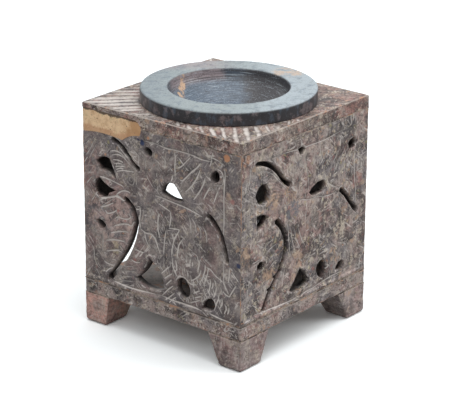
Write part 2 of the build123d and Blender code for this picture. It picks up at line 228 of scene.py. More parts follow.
class StageSettings(bpy.types.PropertyGroup):
    """Floor, lamps and camera."""

    floor: colour_setting("Floor", "White table", 165, 165, 165)
    floor_gain: FloatProperty(
        name="Floor gain",
        description="How bright the camera sees the lit floor, 1 being white",
        min=0,
        default=1.25,
    )
    key_power: power_setting("Key lamp", "Power of the soft lamp overhead", 12.5)
    side_power: power_setting("Side lamp", "Power of the soft lamp at the right", 6.2)
    left_power: power_setting("Left lamp", "Power of the soft lamp at the left", 3.6)
    fill: FloatProperty(name="Fill", description="Level of the light from all round", min=0, default=0.34)
    azimuth: angle_setting("Azimuth", "Camera's turn from the front", -50.407)
    elevation: angle_setting("Elevation", "Camera's angle above the table", 20.276)
    roll: angle_setting("Roll", "Camera's tilt", 0.245)
    distance: length_setting("Distance", "Camera to the middle of the burner", 788.03)
    aim_height: length_setting("Aim height", "Height that the camera looks at", 45)
    lens: FloatProperty(name="Lens", description="Focal length in millimetres", min=1, default=169.6)
    shift_x: FloatProperty(name="Shift X", description="Sideways framing", default=-0.0021)
    shift_y: FloatProperty(name="Shift Y", description="Upward framing", default=0.009)


class Wire:
    """One socket of a node tree. An expression on wires adds the Math nodes that work it out."""

    def __init__(self, tree, socket=None):
        self.tree = tree
        self.socket = socket

    def add(self, kind, settings=None, inputs=None, output=0):
        """Adds a node: its settings first, then the values or links of its sockets. Gives one output."""
        node = self.tree.nodes.new(kind)
        for name, value in (settings or {}).items():
            setattr(node, name, value)
        for name, value in (inputs or {}).items():
            if isinstance(value, Wire):
                self.tree.links.new(value.socket, node.inputs[name])
            else:
                node.inputs[name].default_value = value
        return Wire(self.tree, node.outputs[output])

    def math(self, operation, first, second):
        """Math node on two values or wires."""
        return self.add("ShaderNodeMath", {"operation": operation}, {0: first, 1: second})

    def __add__(self, other):
        return self.math("ADD", self, other)

    def __radd__(self, other):
        return self.math("ADD", other, self)

    def __sub__(self, other):
        return self.math("SUBTRACT", self, other)

    def __mul__(self, other):
        return self.math("MULTIPLY", self, other)

    def __rmul__(self, other):
        return self.math("MULTIPLY", other, self)

    def __truediv__(self, other):
        return self.math("DIVIDE", self, other)

    def __pow__(self, other):
        return self.math("POWER", self, other)

    def __or__(self, other):
        return self.math("MAXIMUM", self, other)

    def ramp(self, start, end):
        """Smooth step from 0 at start to 1 at end."""
        return self.add(
            "ShaderNodeMapRange",
            {"interpolation_type": "SMOOTHSTEP"},
            {"Value": self, "From Min": start, "From Max": end},
        )

    def blend(self, factor, colour):
        """This colour with another laid over it."""
        return self.add(
            "ShaderNodeMix",
            {"data_type": "RGBA"},
            {0: factor, 6: self, 7: colour if isinstance(colour, Wire) else (*colour, 1)},
            output=2,
        )

    def layered(self, *layers):
        """This colour with others laid over it in turn, each given as (factor, colour)."""
        colour = self
        for factor, tint in layers:
            colour = colour.blend(factor, tint)
        return colour

    def paint(self, colour):
        """One plain colour."""
        plain = self.add("ShaderNodeRGB")
        plain.socket.default_value = (*colour, 1)
        return plain

    def bump(self, strength, millimetres):
        """Surface direction that this height bends."""
        inputs = {"Strength": strength, "Distance": millimetres * MM, "Height": self}
        return self.add("ShaderNodeBump", None, inputs)

    def attribute(self, name):
        """Value stored on the mesh's corners."""
        return self.add("ShaderNodeAttribute", {"attribute_name": name}, output="Fac")

    def vector(self, operation, inputs, output=0):
        """Sum on places."""
        return self.add("ShaderNodeVectorMath", {"operation": operation}, inputs, output)

    def noise(self, scale, detail=2.0, roughness=0.5, output=0):
        """Noise at this place."""
        return self.add(
            "ShaderNodeTexNoise",
            None,
            {"Vector": self, "Scale": scale, "Detail": detail, "Roughness": roughness},
            output,
        )

    def mapped(self, scale, location=(0, 0, 0)):
        """This place, scaled and moved."""
        return self.add("ShaderNodeMapping", None, {"Vector": self, "Scale": scale, "Location": location})

    def moved(self, shift):
        """This place, moved."""
        return self.mapped((1.0, 1.0, 1.0), shift)

    def part(self, axis):
        """One coordinate of this place."""
        return self.add("ShaderNodeSeparateXYZ", None, {"Vector": self}, axis)


def new_material(name):
    """Fresh material: gives it, its shader and a wire to build from."""
    material = bpy.data.materials.new(name)
    material.use_nodes = True
    tree = material.node_tree
    tree.nodes.clear()
    shader = tree.nodes.new("ShaderNodeBsdfPrincipled")
    output = tree.nodes.new("ShaderNodeOutputMaterial")
    tree.links.new(shader.outputs[0], output.inputs[0])
    return material, shader, Wire(tree)


def plug(shader, **values):
    """Sets or links the shader's sockets; an underscore stands for a space."""
    for name, value in values.items():
        socket = shader.inputs[name.replace("_", " ")]
        if isinstance(value, Wire):
            value.tree.links.new(value.socket, socket)
        else:
            socket.default_value = value


def object_place(wire, drift=(0, 0, 0)):
    """Place on the piece in millimetres, drifted so that each slab shows another part of the stone."""
    place = wire.add("ShaderNodeTexCoord", output="Object")
    return place.mapped((1 / MM, 1 / MM, 1 / MM), drift)


def stretched(place, way, ratio):
    """Place drawn out along one direction, so that noise read there runs in streaks."""
    reach = place.vector("DOT_PRODUCT", {0: place, 1: way}, "Value")
    slide = place.vector("SCALE", {0: way, "Scale": reach * (1 - ratio)})
    return place.vector("SUBTRACT", {0: place, 1: slide})


def scratches(place, way, fineness, level, shift):
    """Fine scratches in one direction, in patches: mask from 0 to 1."""
    patch = place.moved(shift).noise(0.17, 3.0, 0.55).ramp(0.5, 0.62)
    return stretched(place, way, 0.11).noise(fineness, 2.0, 0.5).ramp(level, level + 0.08) * patch


def blotches(place, shift, scale, level):
    """Scattered ragged blotches: mask from 0 to 1."""
    return place.moved(shift).noise(scale, 4.0, 0.62).ramp(level, level + 0.07)


def spot(place, centre, radius):
    """Round mark about a place given in millimetres: mask from 0 to 1."""
    away = place.vector("DISTANCE", {0: place, 1: centre}, "Value")
    ragged = away + (place.noise(1.1, 3.0, 0.6) - 0.5) * radius
    return ragged.ramp(radius, radius * 0.6)


def veins(place, shift, scale, width):
    """Thin wandering lines: mask from 0 to 1."""
    off = place.moved(shift).noise(scale, 3.0, 0.55) - 0.5
    return (off * off).ramp(width**2, 0)


def soapstone(name, drift, ways, ground, mosaic=0.5, dust=0.5, rosy=0.3, marks=(), shaded=1.0):
    """Mottled soapstone, drawn out and scratched along the given ways, with pale dust in its chisel cuts,
    painted shade beside them, and painted shade with soot inside the openings.

    Mosaic adds cream crumbs, threads and rusty specks, rosy adds pink drifts, shaded scales the dark
    patches, and marks are (centre, radius, colour, strength) with the places in millimetres.
    """
    stone = bpy.context.scene.burner_stone
    material, shader, wire = new_material(name)
    place = object_place(wire, drift)
    grain = MM / stone.mottle_size
    sway = place.noise(grain * 0.8, 2.0, 0.5, output=1)
    bent = place.vector("MULTIPLY_ADD", {0: sway, 1: (3.0, 3.0, 3.0), 2: place})
    drawn = stretched(bent, ways[0], 0.75)
    drifts = place.noise(grain * 0.3, 3.0, 0.55)
    shadows = bent.moved((23, 8, 51)).noise(grain * 0.4, 4.0, 0.6)
    patches = drawn.noise(grain * 0.9, 4.0, 0.62)
    mottle = drawn.noise(grain * 2.2, 4.0, 0.62)
    fine = bent.noise(grain * 5.0, 3.0, 0.65)
    clouds = drawn.moved((9, 3, 27)).noise(grain * 1.3, 6.0, 0.72)
    colour = wire.paint(ground).layered(
        (drifts.ramp(0.48, 0.6) * (0.2 + 0.4 * mosaic), stone.slate),
        (drifts.ramp(0.5, 0.38) * rosy, stone.rose),
        (shadows.ramp(0.5, 0.4) * (0.65 + 0.15 * mosaic) * (0.5 + 0.5 * shaded), stone.umber),
        (shadows.ramp(0.51, 0.61) * 0.5, stone.ash),
        (patches.ramp(0.49, 0.38) * (0.35 + 0.3 * mosaic) * shaded, stone.umber),
        (patches.ramp(0.54, 0.65) * (0.1 + 0.25 * mosaic), stone.ash),
        (mottle.ramp(0.47, 0.37) * (0.55 + 0.15 * mosaic) * shaded, stone.umber),
        (fine.ramp(0.47, 0.35) * 0.65 * shaded, stone.umber),
        (fine.ramp(0.55, 0.66) * 0.4, stone.ash),
    )
    crumbs = clouds.ramp(0.55, 0.6) * (0.1 + 0.9 * fine.ramp(0.43, 0.53))
    colour = colour.blend(crumbs * (0.35 + 0.6 * mosaic), stone.cream)
    threads = veins(drawn, (17, 5, 9), grain * 1.7, 0.025) * clouds.ramp(0.5, 0.58)
    colour = colour.blend(threads * (0.2 + 0.35 * mosaic), stone.cream)
    rare = 0.66 - 0.05 * mosaic
    colour = colour.layered(
        (blotches(bent, (5, 19, 2), grain * 1.3, rare) * 0.6, stone.rose),
        (blotches(bent, (31, 17, 5), grain * 0.8, rare - 0.02) * 0.6, stone.sand),
        (blotches(bent, (61, 7, 35), grain * 1.5, rare + 0.03) * 0.6, stone.ochre),
        (blotches(bent, (11, 47, 23), grain * 1.4, rare) * 0.55, stone.lichen),
    )
    scored = scratches(place, ways[0], 1.4, 0.58, (2, 9, 4))
    for index, way in enumerate(ways[1:]):
        shift = (13 * index + 5, 7, 21 * index)
        scored = scored | scratches(place.moved(shift), way, 1.4, 0.58, shift)
    colour = colour.blend(scored * (0.35 + 0.55 * dust), stone.chalk)
    ground_place = object_place(wire)
    for centre, radius, tint, strength in marks:
        ragged = clouds.ramp(0.45, 0.53) if radius > LARGE_MARK else 1.0
        colour = colour.blend(spot(ground_place, centre, radius) * ragged * strength, tint)
    groove = wire.attribute("groove")
    # Painted shade: umber darkens the hollow beside each chisel cut and dust ring, where shade falls in the
    # carving
    colour = colour.blend(groove.ramp(0.03, 0.25) * 0.4, stone.umber)
    dusty = (groove * (0.4 + 1.2 * mottle)).ramp(0.18, 0.62)
    colour = colour.blend(dusty * (0.65 + 0.4 * dust), stone.chalk)
    worn = wire.attribute("wear")
    edge = (worn * (0.3 + 1.2 * mottle)).ramp(0.25, 0.75)
    colour = colour.blend(edge * 0.55, stone.ash)
    colour = colour.blend(edge * blotches(bent, (3, 3, 41), grain * 0.8, 0.54) * 0.6, stone.ochre)
    # Painted shade with some soot: darkens every corner of a wall off its outer face, inside the openings and
    # behind
    inner_shade_and_soot = wire.attribute("soot")
    colour = colour.blend(inner_shade_and_soot.ramp(0.0, 0.8) * 0.85, stone.soot)
    height = mottle * 0.4 + fine * 0.3 + crumbs * 0.2 - scored * 0.4
    bump = height.bump(0.6, 0.15)
    plug(shader, Base_Color=colour, Roughness=0.46 + 0.24 * (dusty | scored) + 0.14 * fine, Normal=bump)
    return material


def dish_stone():
    """Turned blue grey stone: scuffed rim, polished dark sides, two-toned bowl with veins and rings, and
    painted shade on the bowl's steep upper wall.
    """
    dish = bpy.context.scene.burner_dish
    material, shader, wire = new_material("dish_stone")
    place = object_place(wire)
    centred = place.moved((-dish_centre.x / MM, -dish_centre.y / MM, 0))
    across = centred.part(0)
    along = centred.part(1)
    level = centred.part(2)
    radius = (across * across + along * along) ** 0.5
    bed_side = across * BED_SIDE[0] + along * BED_SIDE[1]
    bed_back = along * BED_SIDE[0] - across * BED_SIDE[1]
    bowl_edge = bowl_radius / MM
    rim_top = dish_high.z / MM
    sway = place.noise(0.09, 3.0, 0.55)
    cloud = place.noise(0.25, 5.0, 0.62)
    fine = place.noise(1.8, 4.0, 0.65)
    turned = wire.add(
        "ShaderNodeCombineXYZ",
        None,
        {0: (radius + level * 0.7) * 2.6, 1: across / radius * 3.0, 2: along / radius * 3.0},
    )
    rings = turned.noise(1.0, 4.0, 0.7)
    tooled = wire.add("ShaderNodeCombineXYZ", None, {0: (radius + level * 0.7) * 1.3, 1: bed_side * 0.02})
    ledges = tooled.noise(1.0, 2.0, 0.6).ramp(0.49, 0.4)
    on_rim = level.ramp(rim_top - 0.75, rim_top - 0.2) * radius.ramp(bowl_edge - 0.3, bowl_edge + 0.3)
    in_bowl = radius.ramp(bowl_edge + 0.5, bowl_edge - 0.2) * level.ramp(rim_top - 14.0, rim_top - 12.9)
    # Steep upper wall of the bowl, where painted shade is laid
    upright = level.ramp(rim_top - 5.4, rim_top - 2.8)
    drips = stretched(place, UP, 0.5).noise(0.35, 4.0, 0.6)
    colour = wire.paint(dish.charcoal).layered(
        (drips.ramp(0.5, 0.66) * 0.4, dish.bowl_blue),
        (cloud.ramp(0.48, 0.36) * 0.35, dish.blush),
        (fine.ramp(0.6, 0.72) * 0.35, dish.rim_blue),
    )
    shaded = (bed_side - bed_back * 0.08 - 4.3 + (cloud - 0.5) * 10).ramp(-2.5, 3.0)
    bowl = wire.paint(dish.bowl_blue)
    bowl = bowl.blend(shaded, dish.bowl_umber)
    # Painted shade: the steep upper wall of the bowl is darkened with charcoal, and its turning ledges are
    # drawn darker there too
    bowl = bowl.blend(upright * 0.45, dish.charcoal)
    flushed = upright * bed_back.ramp(2.0, 9.0) * (bed_side + (cloud - 0.5) * 9).ramp(0.0, -4.0)
    bowl = bowl.layered(
        (flushed * 0.75, dish.blush),
        (ledges * (0.2 + 0.65 * upright), dish.charcoal),
        (rings.ramp(0.48, 0.38) * 0.7, dish.charcoal),
        (rings.ramp(0.57, 0.64) * 0.55, dish.rim_blue),
        (fine.ramp(0.47, 0.36) * 0.5, dish.charcoal),
        (fine.ramp(0.57, 0.68) * 0.4, dish.rim_blue),
    )
    vein_run = bed_side + 17.6 + (cloud - 0.5) * 7 + (sway - 0.5) * 5
    vein = (vein_run * vein_run).ramp(1.2, 0.2) * place.noise(0.5, 3.0, 0.6).ramp(0.42, 0.56)
    bowl = bowl.blend(vein * 0.8, dish.cream)
    colour = colour.blend(in_bowl, bowl)
    scuffed = wire.paint(dish.rim_grey)
    scuffed = scuffed.blend((bed_side + (cloud - 0.5) * 22).ramp(2.0, 20.0) * 0.85, dish.rim_blue)
    scuffed = scuffed.blend((bed_side + (sway - 0.5) * 20).ramp(-12.0, -26.0) * 0.3, dish.bowl_blue)
    flushed = bed_back.ramp(16.0, 26.0) * (bed_side + (cloud - 0.5) * 14).ramp(4.0, -8.0)
    scuffed = scuffed.layered(
        (flushed * 0.6, dish.blush),
        (spot(place, CREAM_PATCH, 7.0) * cloud.ramp(0.4, 0.55) * 0.6, dish.cream),
        (cloud.ramp(0.5, 0.36) * 0.4, dish.bowl_blue),
        (place.noise(0.55, 5.0, 0.65).ramp(0.48, 0.36) * 0.25, dish.bowl_umber),
        (fine.ramp(0.46, 0.36) * 0.35, dish.bowl_umber),
        (fine.ramp(0.55, 0.66) * 0.4, dish.rim_blue),
    )
    for index, way in enumerate(FLAT_WAYS):
        shift = (9 * index, 4, 15)
        scored = scratches(place.moved(shift), way, 0.9, 0.6, shift)
        scuffed = scuffed.blend(scored * 0.25, dish.rim_blue)
    colour = colour.blend(on_rim, scuffed)
    height = fine * 0.4 + rings * in_bowl * 0.8
    bump = height.bump(0.5, 0.1)
    plug(shader, Base_Color=colour, Roughness=0.34 + 0.2 * on_rim + 0.12 * fine, Normal=bump)
    return material


def filler_paste():
    """Tan filler, rubbed down, pitted and stained, with a ragged upper edge and an orange lower one."""
    seam = bpy.context.scene.burner_seam
    stone = bpy.context.scene.burner_stone
    material, shader, wire = new_material("tan_filler")
    place = object_place(wire)
    cloud = place.noise(0.28, 5.0, 0.6)
    fine = place.noise(2.2, 4.0, 0.65)
    pits = blotches(place, (7, 3, 1), 1.1, 0.63)
    low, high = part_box("filler_patch")
    run = place.part(1) + (cloud - 0.5) * 7
    rise = place.part(2) + (cloud - 0.5) * 3 + (fine - 0.5) * 0.8
    colour = wire.paint(seam.filler).layered(
        (cloud.ramp(0.52, 0.36) * 0.35, seam.filler_dark),
        (cloud.ramp(0.54, 0.66) * 0.3, stone.lichen),
        (fine.ramp(0.56, 0.7) * 0.35, stone.cream),
        (run.ramp(low.y / MM + 7.5, low.y / MM + 4.0) * 0.8, seam.filler_dark),
        (rise.ramp(low.z / MM + 3.4, low.z / MM + 2.2) * 0.55, seam.rust),
        (veins(place, (3, 8, 2), 0.4, 0.02) * 0.45, seam.filler_dark),
        (rise.ramp(high.z / MM - 0.9, high.z / MM - 0.5) * 0.85, stone.umber),
        (pits * 0.7, stone.umber),
    )
    height = fine * 0.4 + cloud * 0.3 - pits
    bump = height.bump(0.6, 0.15)
    plug(shader, Base_Color=colour, Roughness=0.72 + 0.15 * fine, Normal=bump)
    return material


def seam_glue(name, rusty):
    """Glue mixed with stone dust, stained here and there by rust."""
    seam = bpy.context.scene.burner_seam
    umber = bpy.context.scene.burner_stone.umber
    material, shader, wire = new_material(name)
    place = object_place(wire)
    cloud = place.noise(0.2, 4.0, 0.6)
    fine = place.noise(1.8, 3.0, 0.6)
    colour = wire.paint(seam.glue).layered(
        (cloud.ramp(0.52, 0.4) * 0.8, umber),
        (fine.ramp(0.5, 0.4) * 0.6, umber),
        (cloud.ramp(0.6 - 0.16 * rusty, 0.66 - 0.1 * rusty) * 0.8, seam.rust),
    )
    bump = fine.bump(0.5, 0.1)
    plug(shader, Base_Color=colour, Roughness=0.7 + 0.1 * fine, Normal=bump)
    return material


def cup_metal(name, tint, roughness, streak):
    """Thin pressed metal with drawing streaks round its axis."""
    material, shader, wire = new_material(name)
    place = object_place(wire)
    lines = place.mapped((0.05, 0.05, streak)).noise(1.0, 4.0, 0.7)
    dull = place.noise(0.3, 3.0, 0.6)
    colour = wire.paint(tint)
    colour = colour.blend(dull.ramp(0.45, 0.7) * 0.25, tuple(part * 0.7 for part in tint))
    bump = lines.bump(0.2, 0.05)
    roughness = roughness + 0.15 * lines + 0.1 * dull
    plug(shader, Base_Color=colour, Metallic=1.0, Roughness=roughness, Normal=bump)
    return material


def candle_wax():
    """Paraffin wax: translucent, faintly clouded."""
    tealight = bpy.context.scene.burner_tealight
    material, shader, wire = new_material("candle_wax")
    place = object_place(wire)
    cloud = place.noise(0.25, 3.0, 0.5)
    fine = place.noise(1.5, 3.0, 0.6)
    colour = wire.paint(tealight.wax)
    colour = colour.blend(cloud.ramp(0.4, 0.7) * 0.3, tuple(part * 0.86 for part in tealight.wax))
    bump = (cloud + fine * 0.2).bump(0.25, 0.1)
    plug(
        shader,
        Base_Color=colour,
        Roughness=0.38 + 0.12 * fine,
        Normal=bump,
        Subsurface_Weight=0.35,
        Subsurface_Radius=(1.0, 0.85, 0.65),
        Subsurface_Scale=1.5 * MM,
    )
    return material


def wick_cotton():
    """Waxed cotton braid."""
    tealight = bpy.context.scene.burner_tealight
    material, shader, wire = new_material("wick_cotton")
    place = object_place(wire)
    fibre = place.mapped((6, 6, 1.2)).noise(1.0, 3.0, 0.6)
    colour = wire.paint(tealight.cotton)
    colour = colour.blend(fibre.ramp(0.5, 0.35) * 0.5, tuple(part * 0.6 for part in tealight.cotton))
    bump = fibre.bump(0.5, 0.08)
    plug(shader, Base_Color=colour, Roughness=0.7 + 0.1 * fibre, Normal=bump)
    return material


def node_mesh(name):
    """Bmesh copy of a CAD node, with its loose triangles merged and room for its dust, its wear, and its
    painted shade and soot.
    """
    bm = bmesh.new()
    bm.from_mesh(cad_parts[name].data)
    for layer in ("groove", "wear", "soot"):
        bm.verts.layers.float.new(layer)
    bmesh.ops.remove_doubles(bm, verts=bm.verts, dist=MERGE_DISTANCE)
    return bm


def place_piece(name, bm, body, slot, material, *nodes, sharp=35):
    """Makes a finished bmesh a piece that rides on its body and stands for its CAD nodes."""
    mesh = bpy.data.meshes.new(name)
    bm.to_mesh(mesh)
    bm.free()
    mesh.materials.append(material)
    mesh.shade_smooth()
    mesh.set_sharp_from_angle(angle=radians(sharp))
    piece = bpy.data.objects.new(name, mesh)
    bpy.context.scene.collection.objects.link(piece)
    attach(piece, body)
    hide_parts(*nodes)
    return piece


def dress_node(name, material):
    """Gives a carried-over CAD node its material."""
    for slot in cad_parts[name].material_slots:
        slot.link = "OBJECT"
        slot.material = material


def cut_grid(bm, faces, directions, step):
    """Cuts flat faces into a fine grid with planes square to each direction, and gives the new faces."""
    done = list(faces)
    for direction in directions:
        spans = [(min(corner.co.dot(direction) for corner in face.verts), face) for face in done]
        high = max(corner.co.dot(direction) for face in done for corner in face.verts)
        waiting = sorted(spans, key=lambda span: -span[0])
        low = waiting[-1][0]
        count = max(1, ceil((high - low) / step))
        ahead = []
        done = []
        for index in range(1, count):
            level = low + (high - low) * index / count
            while waiting and waiting[-1][0] < level:
                ahead.append(waiting.pop()[1])
            edges = dict.fromkeys(edge for face in ahead for edge in face.edges)
            corners = dict.fromkeys(corner for face in ahead for corner in face.verts)
            cut = bmesh.ops.bisect_plane(
                bm,
                geom=[*ahead, *edges, *corners],
                dist=MERGE_DISTANCE / 10,
                plane_co=direction * level,
                plane_no=direction,
            )
            ahead = []
            for item in cut["geom"]:
                if isinstance(item, bmesh.types.BMFace):
                    beyond = item.calc_center_median().dot(direction) > level
                    (ahead if beyond else done).append(item)
        done += ahead + [face for _, face in waiting]
    return done


def coarseness():
    return 1


def working_step():
    """Mesh spacing under the chisel cuts."""
    return bpy.context.scene.burner_carving.grid_step * coarseness()


def side_reach(corner):
    """How far a corner lies beyond the sides of the box, below 0 inside them."""
    return max(abs(corner.co.x) - box_high.x, abs(corner.co.y) - box_high.y)


def axis_distance(corner):
    """Distance of a corner from the dish's axis."""
    return hypot(corner.co.x - dish_centre.x, corner.co.y - dish_centre.y)


def turned(bm, outline, centre, step, turns, last=None, rounded=()):
    """Turns a piece from an outline of (radius, level, rounding) in metres, on from any last corner."""
    rounded = list(rounded)
    for radius, level, size in outline:
        corner = bm.verts.new(centre + Vector((radius, 0, level)))
        if last:
            bm.edges.new((last, corner))
        last = corner
        if size:
            rounded.append((corner, size))
    for corner, size in rounded:
        bmesh.ops.bevel(
            bm, geom=[corner], offset=size, segments=4, profile=0.5, affect="VERTICES", material=-1
        )
    for edge in list(bm.edges):
        cuts = int(edge.calc_length() / step)
        if cuts:
            bmesh.ops.subdivide_edges(bm, edges=[edge], cuts=cuts)
    bmesh.ops.spin(
        bm,
        geom=bm.verts[:] + bm.edges[:],
        cent=centre,
        axis=UP,
        angle=2 * pi,
        steps=turns,
        use_merge=True,
    )
    bmesh.ops.remove_doubles(bm, verts=bm.verts, dist=MERGE_DISTANCE)
    bmesh.ops.recalc_face_normals(bm, faces=bm.faces)
    bm.normal_update()


class PanelFace:
    """Outer face of a wall: seen from outside, share (0, 0) is its lower left and (1, 1) its upper right."""

    def __init__(self, node, along, outward):
        self.node = node
        low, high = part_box(node)
        self.along = Vector(along)
        self.outward = Vector(outward)
        self.corner = Vector((
            box_low.x if (self.along.x > 0 or self.outward.x < 0) else box_high.x,
            box_low.y if (self.along.y > 0 or self.outward.y < 0) else box_high.y,
            low.z,
        ))
        self.length = abs((box_high - box_low).dot(self.along))
        self.height = high.z - low.z
        self.thickness = abs((high - low).dot(self.outward))

    def on_face(self, corner):
        """Whether a corner lies in the face."""
        return abs((corner.co - self.corner).dot(self.outward)) < PLANE_TOLERANCE

    def ways(self, lean):
        """Directions in the face: the lean that its grain runs at, then those of its other scratches."""
        leans = (lean, -0.6, 0.15, 2.3)
        return [self.along * cos(lean) + UP * sin(lean) for lean in leans]

    def spot(self, along, up):
        """Place in millimetres of a mark so many millimetres along and up the face."""
        return (self.corner / MM) + self.along * along + UP * up

    def marks(self, table):
        """Marks in the face's stone, from a table of (along, up, radius, tint, strength)."""
        stone = bpy.context.scene.burner_stone
        return [
            (self.spot(along, up), radius, getattr(stone, tint), strength)
            for along, up, radius, tint, strength in table
        ]

    def places(self, corners):
        """Distances in millimetres along and up the face."""
        spots = np.array([corner.co - self.corner for corner in corners])
        return spots @ np.array(self.along) / MM, spots[:, 2] / MM


def flowing(points, steps=6):
    """Smooth path through a few points."""
    padded = [points[0], *points, points[-1]]
    path = []
    for before, start, end, after in zip(padded, padded[1:], padded[2:], padded[3:]):
        for index in range(steps):
            t = index / steps
            path.append(tuple(
                0.5 * (
                    2 * s + (e - b) * t
                    + (2 * b - 5 * s + 4 * e - a) * t * t
                    + (3 * s - b - 3 * e + a) * t**3
                )
                for b, s, e, a in zip(before, start, end, after)
            ))
    path.append(points[-1])
    return path


def fan(first, last, count):
    """Strokes that pass in even steps from a first to a last one."""
    strokes = []
    for index in range(count):
        share = index / (count - 1)
        strokes.append([
            tuple(a + (b - a) * share for a, b in zip(start, end)) for start, end in zip(first, last)
        ])
    return strokes


def oval(centre, width, height, turns=12):
    """Closed oval stroke."""
    angles = [2 * pi * index / turns for index in range(turns + 1)]
    return [(centre[0] + width * cos(angle), centre[1] + height * sin(angle)) for angle in angles]


def nicks(seed, count, low, high, lean, length):
    """Short chisel nicks strewn over an area, all leaning about one way."""
    dice = random.Random(seed)
    strokes = []
    for _ in range(count):
        start = (dice.uniform(low[0], high[0]), dice.uniform(low[1], high[1]))
        angle = lean + dice.uniform(-0.35, 0.35)
        run = length * dice.uniform(0.5, 1.2)
        strokes.append([start, (start[0] + run * cos(angle), start[1] + run * sin(angle))])
    return strokes


